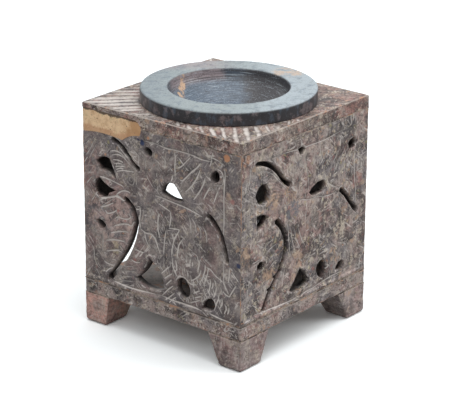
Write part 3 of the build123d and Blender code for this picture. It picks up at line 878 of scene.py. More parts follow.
# Chisel strokes of the elephant panels, as shares of the wall's length and height: (strength, strokes)
LEFT_STROKES = {
    "border": (0.9, [
        [
            (0.39, 0.937), (0.46, 0.94), (0.534, 0.927), (0.605, 0.932),
            (0.685, 0.931), (0.755, 0.92), (0.818, 0.925),
        ],
        [(0.815, 0.95), (0.85, 0.943), (0.871, 0.926), (0.891, 0.926)],
        [(0.894, 0.913), (0.898, 0.869), (0.894, 0.81), (0.89, 0.731), (0.892, 0.6), (0.887, 0.45)],
    ]),
    "floor_line": (0.9, [
        [(0.182, 0.029), (0.243, 0.021), (0.315, 0.019), (0.4, 0.025), (0.496, 0.033)],
        [(0.496, 0.033), (0.56, 0.029), (0.619, 0.027), (0.692, 0.027), (0.76, 0.023)],
        [(0.803, 0.023), (0.846, 0.016), (0.889, 0.012), (0.955, 0.01)],
    ]),
    "canopy": (1.0, [
        [(0.748, 0.899), (0.728, 0.869), (0.685, 0.824), (0.64, 0.77), (0.622, 0.768)],
        [(0.746, 0.861), (0.733, 0.825), (0.706, 0.772), (0.68, 0.735), (0.651, 0.704)],
        [(0.776, 0.824), (0.766, 0.784), (0.742, 0.735), (0.72, 0.7), (0.7, 0.67)],
        [(0.803, 0.773), (0.785, 0.739), (0.763, 0.695)],
        [(0.85, 0.761), (0.84, 0.737), (0.833, 0.715), (0.825, 0.69)],
    ]),
    "canopy_edges": (0.75, [
        [(0.826, 0.98), (0.82, 0.964), (0.807, 0.915), (0.802, 0.893)],
        [(0.605, 0.899), (0.623, 0.883), (0.641, 0.865)],
        [(0.689, 0.921), (0.663, 0.889), (0.627, 0.846), (0.605, 0.836)],
        [(0.837, 0.894), (0.867, 0.886), (0.886, 0.858), (0.885, 0.824), (0.868, 0.799), (0.824, 0.795)],
        [(0.579, 0.93), (0.59, 0.891), (0.589, 0.828), (0.592, 0.745)],
        [(0.56, 0.82), (0.574, 0.805)],
        [(0.578, 0.783), (0.564, 0.741)],
        [(0.781, 0.833), (0.807, 0.82)],
        [(0.693, 0.751), (0.706, 0.734)],
        [(0.5, 0.875), (0.525, 0.85), (0.52, 0.8)],
    ]),
    "trunk_rings": (0.85, [
        [(0.172, 0.818), (0.199, 0.828), (0.237, 0.825), (0.28, 0.802)],
        [(0.185, 0.799), (0.216, 0.81), (0.253, 0.805), (0.302, 0.777)],
        [(0.19, 0.773), (0.226, 0.777), (0.258, 0.771)],
        [(0.198, 0.753), (0.231, 0.759), (0.258, 0.758)],
        [(0.206, 0.735), (0.236, 0.745), (0.272, 0.752)],
        [(0.211, 0.718), (0.236, 0.733), (0.263, 0.737)],
        [(0.217, 0.71), (0.258, 0.726), (0.301, 0.732), (0.333, 0.736)],
    ]),
    "trunk_sides": (0.55, [
        [(0.217, 0.88), (0.254, 0.84), (0.302, 0.792), (0.344, 0.749)],
        [(0.232, 0.844), (0.27, 0.804), (0.317, 0.757)],
        [(0.295, 0.875), (0.313, 0.84), (0.334, 0.811), (0.356, 0.799), (0.371, 0.776), (0.393, 0.792)],
        [(0.356, 0.866), (0.358, 0.817), (0.358, 0.797)],
        [(0.372, 0.86), (0.396, 0.827), (0.401, 0.779), (0.395, 0.758)],
    ]),
    "eye": (0.5, [
        [
            (0.279, 0.717), (0.284, 0.678), (0.3, 0.657), (0.322, 0.658),
            (0.33, 0.69), (0.322, 0.713), (0.295, 0.721),
        ],
        oval((0.311, 0.687), 0.011, 0.012),
        [(0.344, 0.719), (0.346, 0.685), (0.343, 0.654)],
    ]),
    "tusk": (1.0, [
        [(0.103, 0.649), (0.136, 0.648), (0.174, 0.643)],
        [(0.158, 0.649), (0.18, 0.642), (0.224, 0.636), (0.262, 0.627)],
        [(0.212, 0.567), (0.234, 0.589), (0.261, 0.604), (0.288, 0.606), (0.302, 0.6)],
        [(0.089, 0.513), (0.184, 0.544), (0.211, 0.56), (0.239, 0.555), (0.26, 0.546)],
    ]),
    "margin": (0.55, [
        [(0.014, 0.752), (0.045, 0.81), (0.069, 0.862)],
        [(0.027, 0.73), (0.056, 0.788), (0.085, 0.841)],
        [(0.004, 0.709), (0.027, 0.75)],
        [(0.015, 0.579), (0.036, 0.616), (0.053, 0.635)],
        [(0.038, 0.478), (0.067, 0.522), (0.096, 0.571)],
        [(0.018, 0.824), (0.035, 0.853)],
        [(0.088, 0.451), (0.128, 0.483), (0.172, 0.521), (0.2, 0.544)],
    ]),
    "neck": (0.5, [
        [(0.478, 0.829), (0.488, 0.802), (0.509, 0.783)],
        [(0.472, 0.773), (0.467, 0.737)],
        [(0.515, 0.883), (0.504, 0.856)],
        [(0.455, 0.635), (0.481, 0.627), (0.513, 0.626)],
        [(0.477, 0.691), (0.476, 0.651)],
        [(0.341, 0.528), (0.363, 0.533), (0.365, 0.499)],
    ]),
    "leaf_wrinkles": (0.85, [
        [(0.088, 0.494), (0.131, 0.523), (0.197, 0.552), (0.245, 0.549), (0.263, 0.543)],
        [(0.099, 0.458), (0.148, 0.483), (0.191, 0.512)],
        [(0.135, 0.452), (0.153, 0.437), (0.196, 0.458), (0.214, 0.477)],
        [(0.201, 0.415), (0.219, 0.434), (0.255, 0.433), (0.285, 0.439), (0.303, 0.458), (0.285, 0.472)],
        [(0.188, 0.366), (0.231, 0.392), (0.278, 0.406), (0.308, 0.404), (0.326, 0.434)],
        [(0.169, 0.321), (0.2, 0.336), (0.248, 0.353), (0.296, 0.361)],
        [(0.135, 0.266), (0.187, 0.284), (0.235, 0.293), (0.271, 0.293)],
        [(0.137, 0.199), (0.186, 0.219), (0.216, 0.226), (0.246, 0.223)],
        [(0.117, 0.134), (0.141, 0.124), (0.178, 0.124), (0.196, 0.132)],
        [(0.131, 0.067), (0.153, 0.091), (0.184, 0.111)],
    ]),
    "leaf_edge": (0.55, [
        [(0.118, 0.323), (0.117, 0.272), (0.113, 0.215), (0.106, 0.179)],
        [(0.003, 0.256), (0.027, 0.223), (0.051, 0.185), (0.056, 0.129), (0.08, 0.085), (0.116, 0.074)],
    ]),
    "chest": (0.8, [
        [(0.287, 0.555), (0.31, 0.534), (0.339, 0.515), (0.36, 0.521)],
        [(0.36, 0.537), (0.365, 0.5), (0.362, 0.444), (0.368, 0.407)],
        [(0.367, 0.404), (0.396, 0.388), (0.438, 0.389), (0.472, 0.366)],
        [(0.391, 0.397), (0.399, 0.344), (0.425, 0.302)],
        [(0.324, 0.272), (0.36, 0.263), (0.395, 0.266)],
        [(0.359, 0.232), (0.38, 0.261)],
        [(0.299, 0.198), (0.335, 0.189), (0.365, 0.198)],
    ]),
    "fore_leg": (0.5, [
        [(0.257, 0.134), (0.293, 0.151), (0.341, 0.16)],
        [(0.22, 0.094), (0.256, 0.111), (0.304, 0.12), (0.34, 0.143)],
        [(0.213, 0.058), (0.268, 0.081), (0.316, 0.09)],
        [(0.201, 0.026), (0.255, 0.048), (0.328, 0.065)],
    ]),
    "harness": (0.9, [
        [(0.46, 0.628), (0.519, 0.627), (0.617, 0.616), (0.653, 0.61), (0.706, 0.599), (0.759, 0.585)],
        [(0.482, 0.589), (0.518, 0.576), (0.559, 0.562)],
        [(0.559, 0.562), (0.561, 0.515), (0.553, 0.464)],
        [(0.549, 0.46), (0.581, 0.466), (0.619, 0.472)],
        [(0.619, 0.47), (0.585, 0.407), (0.569, 0.341), (0.565, 0.289)],
        [(0.643, 0.429), (0.614, 0.381), (0.603, 0.334), (0.599, 0.29)],
        [(0.486, 0.532), (0.479, 0.479), (0.481, 0.428), (0.494, 0.38)],
        [(0.533, 0.443), (0.521, 0.379), (0.514, 0.29)],
        [(0.435, 0.397), (0.462, 0.362), (0.48, 0.315), (0.493, 0.288)],
    ]),
    "flank": (0.65, [
        [(0.657, 0.596), (0.682, 0.542), (0.687, 0.501), (0.693, 0.455)],
        [(0.686, 0.564), (0.711, 0.537), (0.719, 0.497), (0.724, 0.479)],
        [(0.724, 0.541), (0.746, 0.505), (0.75, 0.468)],
        [(0.757, 0.536), (0.779, 0.498), (0.786, 0.44)],
        [(0.63, 0.33), (0.63, 0.3)],
        [(0.657, 0.338), (0.659, 0.282)],
        [(0.688, 0.36), (0.724, 0.345), (0.732, 0.305)],
    ]),
    "hind_leg": (0.8, [
        [(0.499, 0.169), (0.527, 0.203), (0.559, 0.234)],
        [(0.519, 0.146), (0.541, 0.167), (0.571, 0.193)],
        [(0.529, 0.109), (0.546, 0.131), (0.566, 0.154)],
        [(0.496, 0.03), (0.526, 0.066), (0.551, 0.095), (0.578, 0.12)],
        [(0.526, 0.018), (0.55, 0.041), (0.587, 0.081)],
        [(0.55, 0.007), (0.57, 0.033), (0.597, 0.058)],
        [(0.571, 0.277), (0.574, 0.236), (0.591, 0.204), (0.6, 0.188)],
        [(0.591, 0.283), (0.593, 0.256), (0.598, 0.229), (0.586, 0.205)],
        [(0.6, 0.188), (0.629, 0.192), (0.659, 0.183), (0.683, 0.167), (0.712, 0.167), (0.736, 0.177)],
    ]),
    "haunch": (0.85, [
        [(0.657, 0.303), (0.659, 0.283)],
        [(0.681, 0.311), (0.679, 0.285)],
        [(0.695, 0.301), (0.697, 0.276)],
        [(0.736, 0.327), (0.736, 0.29), (0.731, 0.261)],
        [(0.75, 0.269), (0.741, 0.236), (0.712, 0.202), (0.692, 0.189)],
        [(0.772, 0.311), (0.774, 0.279), (0.762, 0.229), (0.745, 0.191)],
        [(0.793, 0.294), (0.788, 0.256), (0.774, 0.205), (0.772, 0.176)],
        [(0.776, 0.296), (0.807, 0.285), (0.831, 0.262), (0.869, 0.242), (0.897, 0.225)],
    ]),
    "grass": (0.85, [
        [(0.803, 0.232), (0.807, 0.206), (0.798, 0.161), (0.788, 0.144)],
        [(0.822, 0.215), (0.819, 0.191), (0.812, 0.171)],
        [(0.843, 0.194), (0.836, 0.155), (0.827, 0.124)],
        [(0.857, 0.166), (0.853, 0.123), (0.843, 0.088), (0.832, 0.047)],
        [(0.876, 0.14), (0.877, 0.112), (0.867, 0.072)],
        [(0.91, 0.104), (0.905, 0.075), (0.896, 0.049)],
        [(0.926, 0.1), (0.922, 0.071), (0.915, 0.053)],
        [(0.702, 0.112), (0.741, 0.141)],
        [(0.678, 0.048), (0.712, 0.064), (0.741, 0.083)],
        [(0.707, 0.086), (0.75, 0.109)],
    ]),
    "tail": (0.9, [
        [(0.887, 0.36), (0.89, 0.306), (0.89, 0.26), (0.895, 0.229), (0.912, 0.197), (0.923, 0.178)],
        [(0.925, 0.339), (0.925, 0.294), (0.921, 0.242)],
        [(0.883, 0.188), (0.902, 0.171), (0.921, 0.164), (0.931, 0.164)],
        [(0.968, 0.243), (0.944, 0.199), (0.926, 0.16)],
        [(0.941, 0.317), (0.958, 0.295), (0.984, 0.268)],
    ]),
    "grass_hatch": (0.6, nicks(31, 60, (0.62, 0.03), (0.92, 0.22), 2.0, 0.05)),
    "flank_hatch": (0.5, nicks(33, 55, (0.5, 0.14), (0.74, 0.45), 1.9, 0.05)),
    "body_hatch": (0.45, nicks(35, 55, (0.36, 0.2), (0.62, 0.52), 1.7, 0.045)),
    "leaf_hatch": (0.45, nicks(37, 40, (0.05, 0.1), (0.26, 0.5), 0.1, 0.04)),
    "canopy_hatch": (0.45, nicks(39, 45, (0.48, 0.68), (0.86, 0.9), 1.0, 0.045)),
    "field_nicks": (0.4, [
        *nicks(5, 70, (0.12, 0.05), (0.88, 0.9), 0.9, 0.03),
        *nicks(6, 50, (0.02, 0.05), (0.96, 0.95), 2.1, 0.03),
    ]),
}
FRONT_STROKES = {
    "border": (0.65, [
        [(0.191, 0.931), (0.317, 0.922), (0.447, 0.912), (0.641, 0.906), (0.78, 0.92), (0.88, 0.915)],
        [(0.907, 0.9), (0.907, 0.83), (0.904, 0.73), (0.908, 0.606), (0.919, 0.52), (0.923, 0.416)],
        [(0.102, 0.034), (0.192, 0.027), (0.299, 0.02), (0.443, 0.016)],
        [(0.46, 0.012), (0.512, 0.024), (0.602, 0.032), (0.721, 0.045), (0.823, 0.05), (0.898, 0.058)],
    ]),
    "trunk_edge": (0.6, [
        [(0.125, 0.87), (0.183, 0.862), (0.241, 0.828), (0.289, 0.775), (0.338, 0.722), (0.368, 0.69)],
        [(0.09, 0.96), (0.084, 0.914), (0.074, 0.829), (0.046, 0.749)],
        [(0.11, 0.965), (0.104, 0.94), (0.096, 0.897)],
    ]),
    "trunk_rings": (0.35, fan(
        [(0.2, 0.815), (0.25, 0.8), (0.3, 0.755)], [(0.22, 0.66), (0.27, 0.672), (0.33, 0.66)], 7,
    )),
    "body": (0.6, [
        [(0.5, 0.859), (0.511, 0.777), (0.53, 0.718)],
        [(0.614, 0.918), (0.616, 0.838), (0.645, 0.762)],
        [(0.771, 0.77), (0.746, 0.704), (0.729, 0.662)],
        [(0.806, 0.82), (0.836, 0.751), (0.866, 0.694), (0.914, 0.645)],
        [(0.975, 0.654), (0.915, 0.631)],
        [(0.665, 0.682), (0.703, 0.623), (0.768, 0.582)],
        [(0.578, 0.589), (0.678, 0.561), (0.76, 0.561)],
        [(0.46, 0.61), (0.53, 0.585), (0.6, 0.588)],
    ]),
    "leaf": (0.55, [
        [(0.202, 0.314), (0.244, 0.343), (0.293, 0.359)],
        [(0.188, 0.352), (0.222, 0.389), (0.292, 0.408)],
        [(0.18, 0.404), (0.221, 0.433), (0.263, 0.445)],
        [(0.21, 0.268), (0.252, 0.297), (0.294, 0.309)],
        [(0.155, 0.178), (0.197, 0.201), (0.246, 0.211)],
    ]),
    "chest": (0.55, [
        [(0.368, 0.5), (0.372, 0.42), (0.385, 0.33), (0.405, 0.285)],
        [(0.39, 0.47), (0.405, 0.38), (0.435, 0.3)],
        [(0.415, 0.46), (0.44, 0.37), (0.475, 0.3)],
        [(0.445, 0.45), (0.475, 0.37), (0.51, 0.31)],
    ]),
    "canopy": (0.55, fan(
        [(0.7, 0.87), (0.64, 0.8), (0.6, 0.76)], [(0.9, 0.77), (0.86, 0.7), (0.84, 0.63)], 6,
    )),
    "eye": (0.5, [oval((0.36, 0.64), 0.014, 0.018), oval((0.36, 0.64), 0.03, 0.036)]),
    "haunch": (0.45, [
        [(0.7, 0.285), (0.735, 0.225), (0.785, 0.15)],
        [(0.64, 0.46), (0.66, 0.38), (0.69, 0.3)],
    ]),
    "hind_leg": (0.5, fan([(0.5, 0.235), (0.54, 0.265)], [(0.56, 0.04), (0.6, 0.08)], 7)),
    "grass": (0.45, fan(
        [(0.7, 0.2), (0.71, 0.12), (0.7, 0.06)], [(0.9, 0.19), (0.91, 0.12), (0.9, 0.05)], 7,
    )),
    "field_nicks": (0.45, [
        *nicks(15, 90, (0.05, 0.04), (0.92, 0.92), 0.8, 0.035),
        *nicks(16, 90, (0.05, 0.04), (0.92, 0.92), 1.7, 0.035),
    ]),
}
REAR_STROKES = {
    "border": (0.7, [
        [(0.06, 0.93), (0.3, 0.938), (0.6, 0.93), (0.94, 0.935)],
        [(0.06, 0.93), (0.065, 0.5), (0.06, 0.05)],
        [(0.94, 0.935), (0.935, 0.5), (0.94, 0.05)],
    ]),
    "saw_marks": (0.35, nicks(25, 110, (0.02, 0.05), (0.95, 0.95), 0.2, 0.05)),
}

# Parts of a panel that stand up from its ground: middle, half width and half height as shares
ELEPHANT_SWELLS = [
    ((0.6, 0.43), 0.26, 0.2),
    ((0.31, 0.68), 0.11, 0.13),
    ((0.21, 0.33), 0.12, 0.27),
    ((0.68, 0.82), 0.18, 0.13),
    ((0.36, 0.16), 0.08, 0.16),
    ((0.57, 0.15), 0.07, 0.17),
    ((0.72, 0.2), 0.1, 0.14),
]
# Sunk ground of the panels, from its lower left to its upper right corner, as shares
LEFT_FIELD = ((0.025, 0.022), (0.886, 0.938))
FRONT_FIELD = ((0.03, 0.02), (0.95, 0.925))
REAR_FIELD = ((0.065, -0.1), (0.935, 0.935))

# Marks in the stone of a wall: (along, up, radius, tint, strength), with the lengths in millimetres
LEFT_MARKS = [
    (14.0, 27.0, 15.0, "petal", 0.25),
    (15.0, 26.0, 14.0, "mallow", 0.35),
    (15.0, 39.0, 5.0, "rose", 0.22),
    (3.0, 44.0, 9.0, "rose", 0.25),
    (15.4, 15.5, 3.2, "lichen", 0.4),
    (12.4, 55.5, 1.0, "lichen", 0.7),
    (46.5, 55.5, 0.9, "lichen", 0.5),
    (28.75, 59.0, 1.5, "ink", 1.0),
    (27.2, 59.7, 0.8, "ink", 1.0),
    (25.8, 60.1, 0.4, "umber", 0.9),
    (24.2, 60.6, 0.5, "umber", 0.9),
    (74.0, 23.4, 1.2, "ink", 0.9),
    (68.25, 62.0, 1.6, "ochre", 0.9),
    (32.0, 61.4, 0.7, "ochre", 0.8),
    (32.0, 49.4, 0.7, "ochre", 0.7),
    (11.0, 50.6, 0.7, "ochre", 0.7),
    (19.1, 22.0, 0.8, "ochre", 0.7),
    (16.9, 30.3, 0.8, "rose", 0.8),
    (20.2, 27.1, 0.7, "rose", 0.8),
    (24.8, 12.8, 1.0, "rose", 0.8),
    (19.3, 40.0, 0.5, "rose", 0.9),
    (70.9, 46.5, 1.2, "rose", 0.7),
    (54.0, 44.6, 0.9, "rose", 0.6),
]
FRONT_MARKS = [
    (57.8, 20.3, 4.2, "cream", 0.75),
    (47.3, 42.7, 3.6, "cream", 0.7),
    (2.8, 26.6, 4.4, "sand", 0.6),
    (15.3, 15.9, 3.4, "sand", 0.6),
    (32.6, 16.0, 4.6, "sand", 0.5),
    (18.2, 42.4, 4.6, "sand", 0.7),
    (29.7, 40.7, 3.8, "sand", 0.5),
    (2.3, 62.5, 3.6, "ochre", 0.45),
    (29.8, 36.1, 4.6, "slate", 0.8),
    (68.4, 37.0, 4.0, "rose", 0.5),
    (11.1, 60.6, 6.0, "cream", 0.35),
    (39.9, 13.1, 3.0, "cream", 0.6),
    (43.0, 27.7, 5.0, "umber", 0.6),
    (32.9, 53.5, 6.5, "ash", 0.6),
    (53.8, 12.8, 2.4, "sand", 0.8),
    (4.7, 46.9, 4.0, "umber", 0.5),
]

# Share of its depth that a stroke keeps at its ends, how many hollow widths away it still tells, and the
# least squared length of its steps
STROKE_END = 0.35
STROKE_REACH = 2.5
LEAST_RUN = 1e-9

# A pierced edge lies clear of a strip along a wall's sides and levels, in millimetres, and goes in by at
# least this share of the wall, with a flank that faces outward less than this. A wall without one counts as
# far away from it
EDGE_STRIP = (0.6, 0.3)
PIERCED_SHARE = 0.6
FLANK_FACING = 0.5
FAR_AWAY = 1e3

# How far the step down to a panel's ground reaches outside and inside its edge, in millimetres
SIDE_STEP = (0.4, 0.5)
LEVEL_STEP = (0.3, 0.4)
# Steepness of the standing figure's edges, and the share of the ground's drop that it stands up by
SWELL_RISE = 1.25
SWELL_SHARE = 0.75
# Share of the ground's drop that is left at an opening, and where the rest comes back, in millimetres
OPENING_DROP = 0.3
OPENING_BAND = (0.4, 2.6)
# Worn outer edge of a wall: its width, its drop and the further drop of its chips, in millimetres
ARRIS_WIDTH = 0.8
ARRIS_DROP = 0.12
ARRIS_CHIP = 0.3
# Ring of dust round an opening: its distance from the edge and its half width, in millimetres
DUST_AWAY = 0.45
DUST_WIDTH = 0.35


def stroke_profile(u, v, path, width, hollow):
    """How strongly each place lies in one stroke's line and in the hollow round it."""
    line = np.zeros(len(u))
    round_it = np.zeros(len(u))
    for index, (start, end) in enumerate(zip(path, path[1:])):
        run = end - start
        reach = max(run @ run, LEAST_RUN)
        along = np.clip(((u - start[0]) * run[0] + (v - start[1]) * run[1]) / reach, 0, 1)
        away = np.hypot(u - start[0] - along * run[0], v - start[1] - along * run[1])
        progress = (index + along) / (len(path) - 1)
        taper = STROKE_END + (1 - STROKE_END) * np.sqrt(np.clip(np.sin(pi * progress), 0, 1))
        line = np.maximum(line, taper * np.exp(-((away / width) ** 2)))
        round_it = np.maximum(round_it, taper * np.exp(-((away / hollow) ** 2)))
    return line, round_it


def cut_profile(u, v, strokes, face):
    """How strongly each place lies in a line and in the hollow round it, by strokes in shares of the face."""
    carving = bpy.context.scene.burner_carving
    width = carving.cut_width / MM
    hollow = carving.scoop_width / MM
    cut = np.zeros(len(u))
    scoop = np.zeros(len(u))
    for strength, paths in strokes.values():
        for points in paths:
            path = np.array(flowing(points)) * (face.length / MM, face.height / MM)
            low = path.min(axis=0) - STROKE_REACH * hollow
            high = path.max(axis=0) + STROKE_REACH * hollow
            near = np.nonzero((u > low[0]) & (u < high[0]) & (v > low[1]) & (v < high[1]))[0]
            line, round_it = stroke_profile(u[near], v[near], path, width, hollow)
            cut[near] = np.maximum(cut[near], line * strength)
            scoop[near] = np.maximum(scoop[near], round_it * strength)
    return cut, scoop


def smooth_step(value, start, end):
    """Smooth step from 0 at start to 1 at end."""
    share = np.clip((value - start) / (end - start), 0, 1)
    return share * share * (3 - 2 * share)


def between(value, low, high, outside, inside):
    """1 between two levels and 0 beyond, by smooth steps that reach so far outside and inside each level."""
    rise = smooth_step(value, low - outside, low + inside)
    return rise * smooth_step(-value, -high - outside, -high + inside)


def rough(corners, scale, seed):
    """Gentle noise from -1 to 1 at each corner, at a scale in waves per millimetre."""
    drift = Vector((seed * 7.1, seed * 3.7, seed * 5.3))
    return np.array([noise.noise(corner.co * (scale / MM) + drift) for corner in corners])


def opening_distance(bm, face, front, corners):
    """Distance in millimetres of each corner from the nearest pierced edge."""
    marked = set(front)
    rim = {}
    for edge in bm.edges:
        sides = [side for side in edge.link_faces if side not in marked]
        if len(edge.link_faces) != 2 or len(sides) != 1:
            continue
        if abs(sides[0].normal.dot(face.outward)) > FLANK_FACING:
            continue
        depth = max((face.corner - corner.co).dot(face.outward) for corner in sides[0].verts)
        u, v = face.places(edge.verts)
        inside = u.min() > EDGE_STRIP[0] and u.max() < face.length / MM - EDGE_STRIP[0]
        inside = inside and v.min() > EDGE_STRIP[1] and v.max() < face.height / MM - EDGE_STRIP[1]
        if inside and depth > PIERCED_SHARE * face.thickness:
            rim.update(dict.fromkeys(edge.verts))
    if not rim:
        return np.full(len(corners), FAR_AWAY)
    tree = KDTree(len(rim))
    for index, corner in enumerate(rim):
        tree.insert(corner.co, index)
    tree.balance()
    return np.array([tree.find(corner.co)[2] for corner in corners]) / MM


def carve_wall(name, face, strokes, swells, field, material, seed):
    """Chisels one wall: cuts a grid into its outer face, then lowers it where the carver cut."""
    carving = bpy.context.scene.burner_carving
    bm = node_mesh(face.node)
    bm.normal_update()
    outer = [side for side in bm.faces if side.normal.dot(face.outward) > FACING]
    front = [side for side in outer if face.on_face(side.verts[0])]
    front = cut_grid(bm, front, (face.along, UP), working_step())
    corners = [corner for corner in bm.verts if face.on_face(corner)]
    u, v = face.places(corners)
    length = face.length / MM
    height = face.height / MM
    cut, scoop = cut_profile(u, v, strokes, face)
    low, high = field
    inside = between(u, low[0] * length, high[0] * length, *SIDE_STEP)
    inside = inside * between(v, low[1] * height, high[1] * height, *LEVEL_STEP)
    raised = np.zeros(len(u))
    for middle, half_width, half_height in swells:
        away = np.hypot((u / length - middle[0]) / half_width, (v / height - middle[1]) / half_height)
        raised = np.maximum(raised, np.clip(SWELL_RISE * (1 - away**2), 0, 1))
    wave = rough(corners, 0.12, seed) * 0.6 + rough(corners, 0.45, seed + 1) * 0.4
    chips = rough(corners, 0.5, seed + 2)
    away = opening_distance(bm, face, front, corners)
    radius = carving.edge_round / MM * (1 + 0.45 * chips)
    into = np.clip(1 - away / radius, 0, 1)
    standing = OPENING_DROP + (1 - OPENING_DROP) * smooth_step(away, *OPENING_BAND)
    depth = carving.field_drop / MM * inside * standing * (1 - SWELL_SHARE * raised)
    depth = depth + carving.cut_depth / MM * cut + carving.scoop_depth / MM * scoop
    depth = depth + radius * (1 - np.sqrt(1 - into**2)) * 0.8
    depth = depth + carving.unevenness / MM * (0.5 + 0.5 * wave)
    border = np.minimum(np.minimum(u, length - u), np.minimum(v, height - v))
    arris = np.clip(1 - border / ARRIS_WIDTH, 0, 1)
    depth = depth + arris**2 * (ARRIS_DROP + ARRIS_CHIP * np.clip(chips, 0, 1))
    ring = np.exp(-(((away - DUST_AWAY) / DUST_WIDTH) ** 2)) * np.clip(0.2 + 0.7 * chips, 0, 0.6)
    groove = bm.verts.layers.float["groove"]
    wear = bm.verts.layers.float["wear"]
    worn = np.maximum(arris * 0.9, np.clip(into * 0.5 * (1 - into) * 4, 0, 1) * 0.45)
    # Painted shade with some soot: marks every corner off the outer face, inside the openings and on the
    # inner side, for darkening
    soot = bm.verts.layers.float["soot"]
    for corner in bm.verts:
        corner[soot] = 0.0 if face.on_face(corner) else 1.0
    for corner, drop, dust, rub in zip(corners, depth, np.maximum(cut, ring), worn):
        corner.co -= face.outward * (drop * MM)
        corner[groove] = dust
        corner[wear] = rub
    return place_piece(name, bm, "burner", "brown_soapstone", material, face.node)


class BURNER_OT_carve_walls(bpy.types.Operator):
    """Carves the four walls of the box"""

    bl_idname = "burner.carve_walls"
    bl_label = "Carve walls"

    def execute(self, context):
        left = PanelFace("left_wall", (0, -1, 0), (-1, 0, 0))
        front = PanelFace("front_wall", (1, 0, 0), (0, -1, 0))
        right = PanelFace("right_wall", (0, 1, 0), (1, 0, 0))
        rear = PanelFace("rear_wall", (-1, 0, 0), (0, 1, 0))
        stone = context.scene.burner_stone
        marks = left.marks(LEFT_MARKS)
        patches = front.marks(FRONT_MARKS)
        left_stone = soapstone(
            "left_stone", (3, 41, 9), left.ways(0.9), stone.mauve, 0.2, 0.6, 0.2, marks, 0.6
        )
        front_stone = soapstone(
            "front_stone", (57, 7, 23), front.ways(1.5), stone.brown, 0.85, 0.6, 0.35, patches, 0.9
        )
        right_stone = soapstone("right_stone", (91, 13, 31), right.ways(1.1), stone.brown, 0.5, 0.5, 0.3)
        rear_stone = soapstone("rear_stone", (17, 73, 61), rear.ways(0.2), stone.brown, 0.5, 0.4, 0.3)
        swells = ELEPHANT_SWELLS
        carve_wall("carved_left_wall", left, LEFT_STROKES, swells, LEFT_FIELD, left_stone, 1)
        carve_wall("carved_front_wall", front, FRONT_STROKES, swells, FRONT_FIELD, front_stone, 11)
        carve_wall("carved_right_wall", right, LEFT_STROKES, swells, LEFT_FIELD, right_stone, 21)
        carve_wall("sawn_rear_wall", rear, REAR_STROKES, [], REAR_FIELD, rear_stone, 31)
        return {"FINISHED"}


# Corner grooves of the top: how far they sway and where they fade, in millimetres from the corner, how sharp
# they are, and how much of them is left at the worn right corner and at the other three
GROOVE_SWAY = 1.5
GROOVE_FADE = (24.0, 29.0)
GROOVE_SHARPNESS = 1.6
WORN_CORNER = 0.45
OTHER_CORNER = 0.9


def corner_grooves(corners):
    """Depth share, from 0 to 1, of the grooves that run from the top's corners towards the dish."""
    carving = bpy.context.scene.burner_carving
    spacing = carving.groove_spacing / MM
    share = np.zeros(len(corners))
    for index, corner in enumerate(corners):
        side_x = 1 if corner.co.x > dish_centre.x else -1
        side_y = 1 if corner.co.y > dish_centre.y else -1
        tip = Vector((box_high.x if side_x > 0 else box_low.x, box_high.y if side_y > 0 else box_low.y, 0))
        away = corner.co - tip
        inward = -(away.x * side_x + away.y * side_y) / sqrt(2) / MM
        sideways = (away.x * side_x - away.y * side_y) / sqrt(2) / MM
        sway = noise.noise(Vector((sideways * 0.2, inward * 0.05, side_x * 3 + side_y))) * GROOVE_SWAY
        phase = (sideways + sway) / spacing + 0.25 * side_x
        wave = 0.5 + 0.5 * cos(2 * pi * phase)
        strength = 0.65 + 0.35 * noise.noise(Vector((round(phase) * 1.7, side_x * 2.0, side_y * 5.0)))
        broken = 0.8 + 0.5 * noise.noise(Vector((sideways * 0.45, inward * 0.3, side_x * 7 + side_y * 3)))
        left_over = WORN_CORNER if side_x > 0 and side_y < 0 else OTHER_CORNER
        fade = 1 - float(smooth_step(inward, *GROOVE_FADE))
        share[index] = max(wave**GROOVE_SHARPNESS * strength * broken * left_over * fade, 0.0)
    return share


def weather(corners, drops, layers, dust, rub):
    """Moves each corner in along its own normal by a depth in millimetres and stores its dust and wear."""
    normals = [corner.normal.copy() for corner in corners]
    for corner, normal, drop, powder, worn in zip(corners, normals, drops, dust, rub):
        corner.co -= normal * (drop * MM)
        corner[layers[0]] = powder
        corner[layers[1]] = worn


# Plates, in millimetres: where the dish's rim ends over the top, how far the dust of the pale rear left
# corner reaches, how wide the top's worn edge is, and how far from its middle the floor's edge is worn
RIM_COVER = (32.0, 33.5)
PALE_REACH = (20.0, 34.0)
TOP_EDGE = 1.2
FLOOR_EDGE = (1.6, 2.5)
# How deep below the top and inside the sides a corner still counts as theirs, how far a side may lean, and
# how far the floor plate's edges are broken
TOP_STRIP = 0.8 * MM
SIDE_STRIP = 0.5 * MM
LEANING = 0.3
FLOOR_BEVEL = 0.35 * MM
# How deep inside the box the middle of a side's face may lie, at the top plate and at the floor plate
TOP_DEPTH = 0.01 * MM
FLOOR_DEPTH = 1.0 * MM
# Mesh spacing of the plates in working steps
TOP_STEPS = 1.25
FLOOR_STEPS = 2


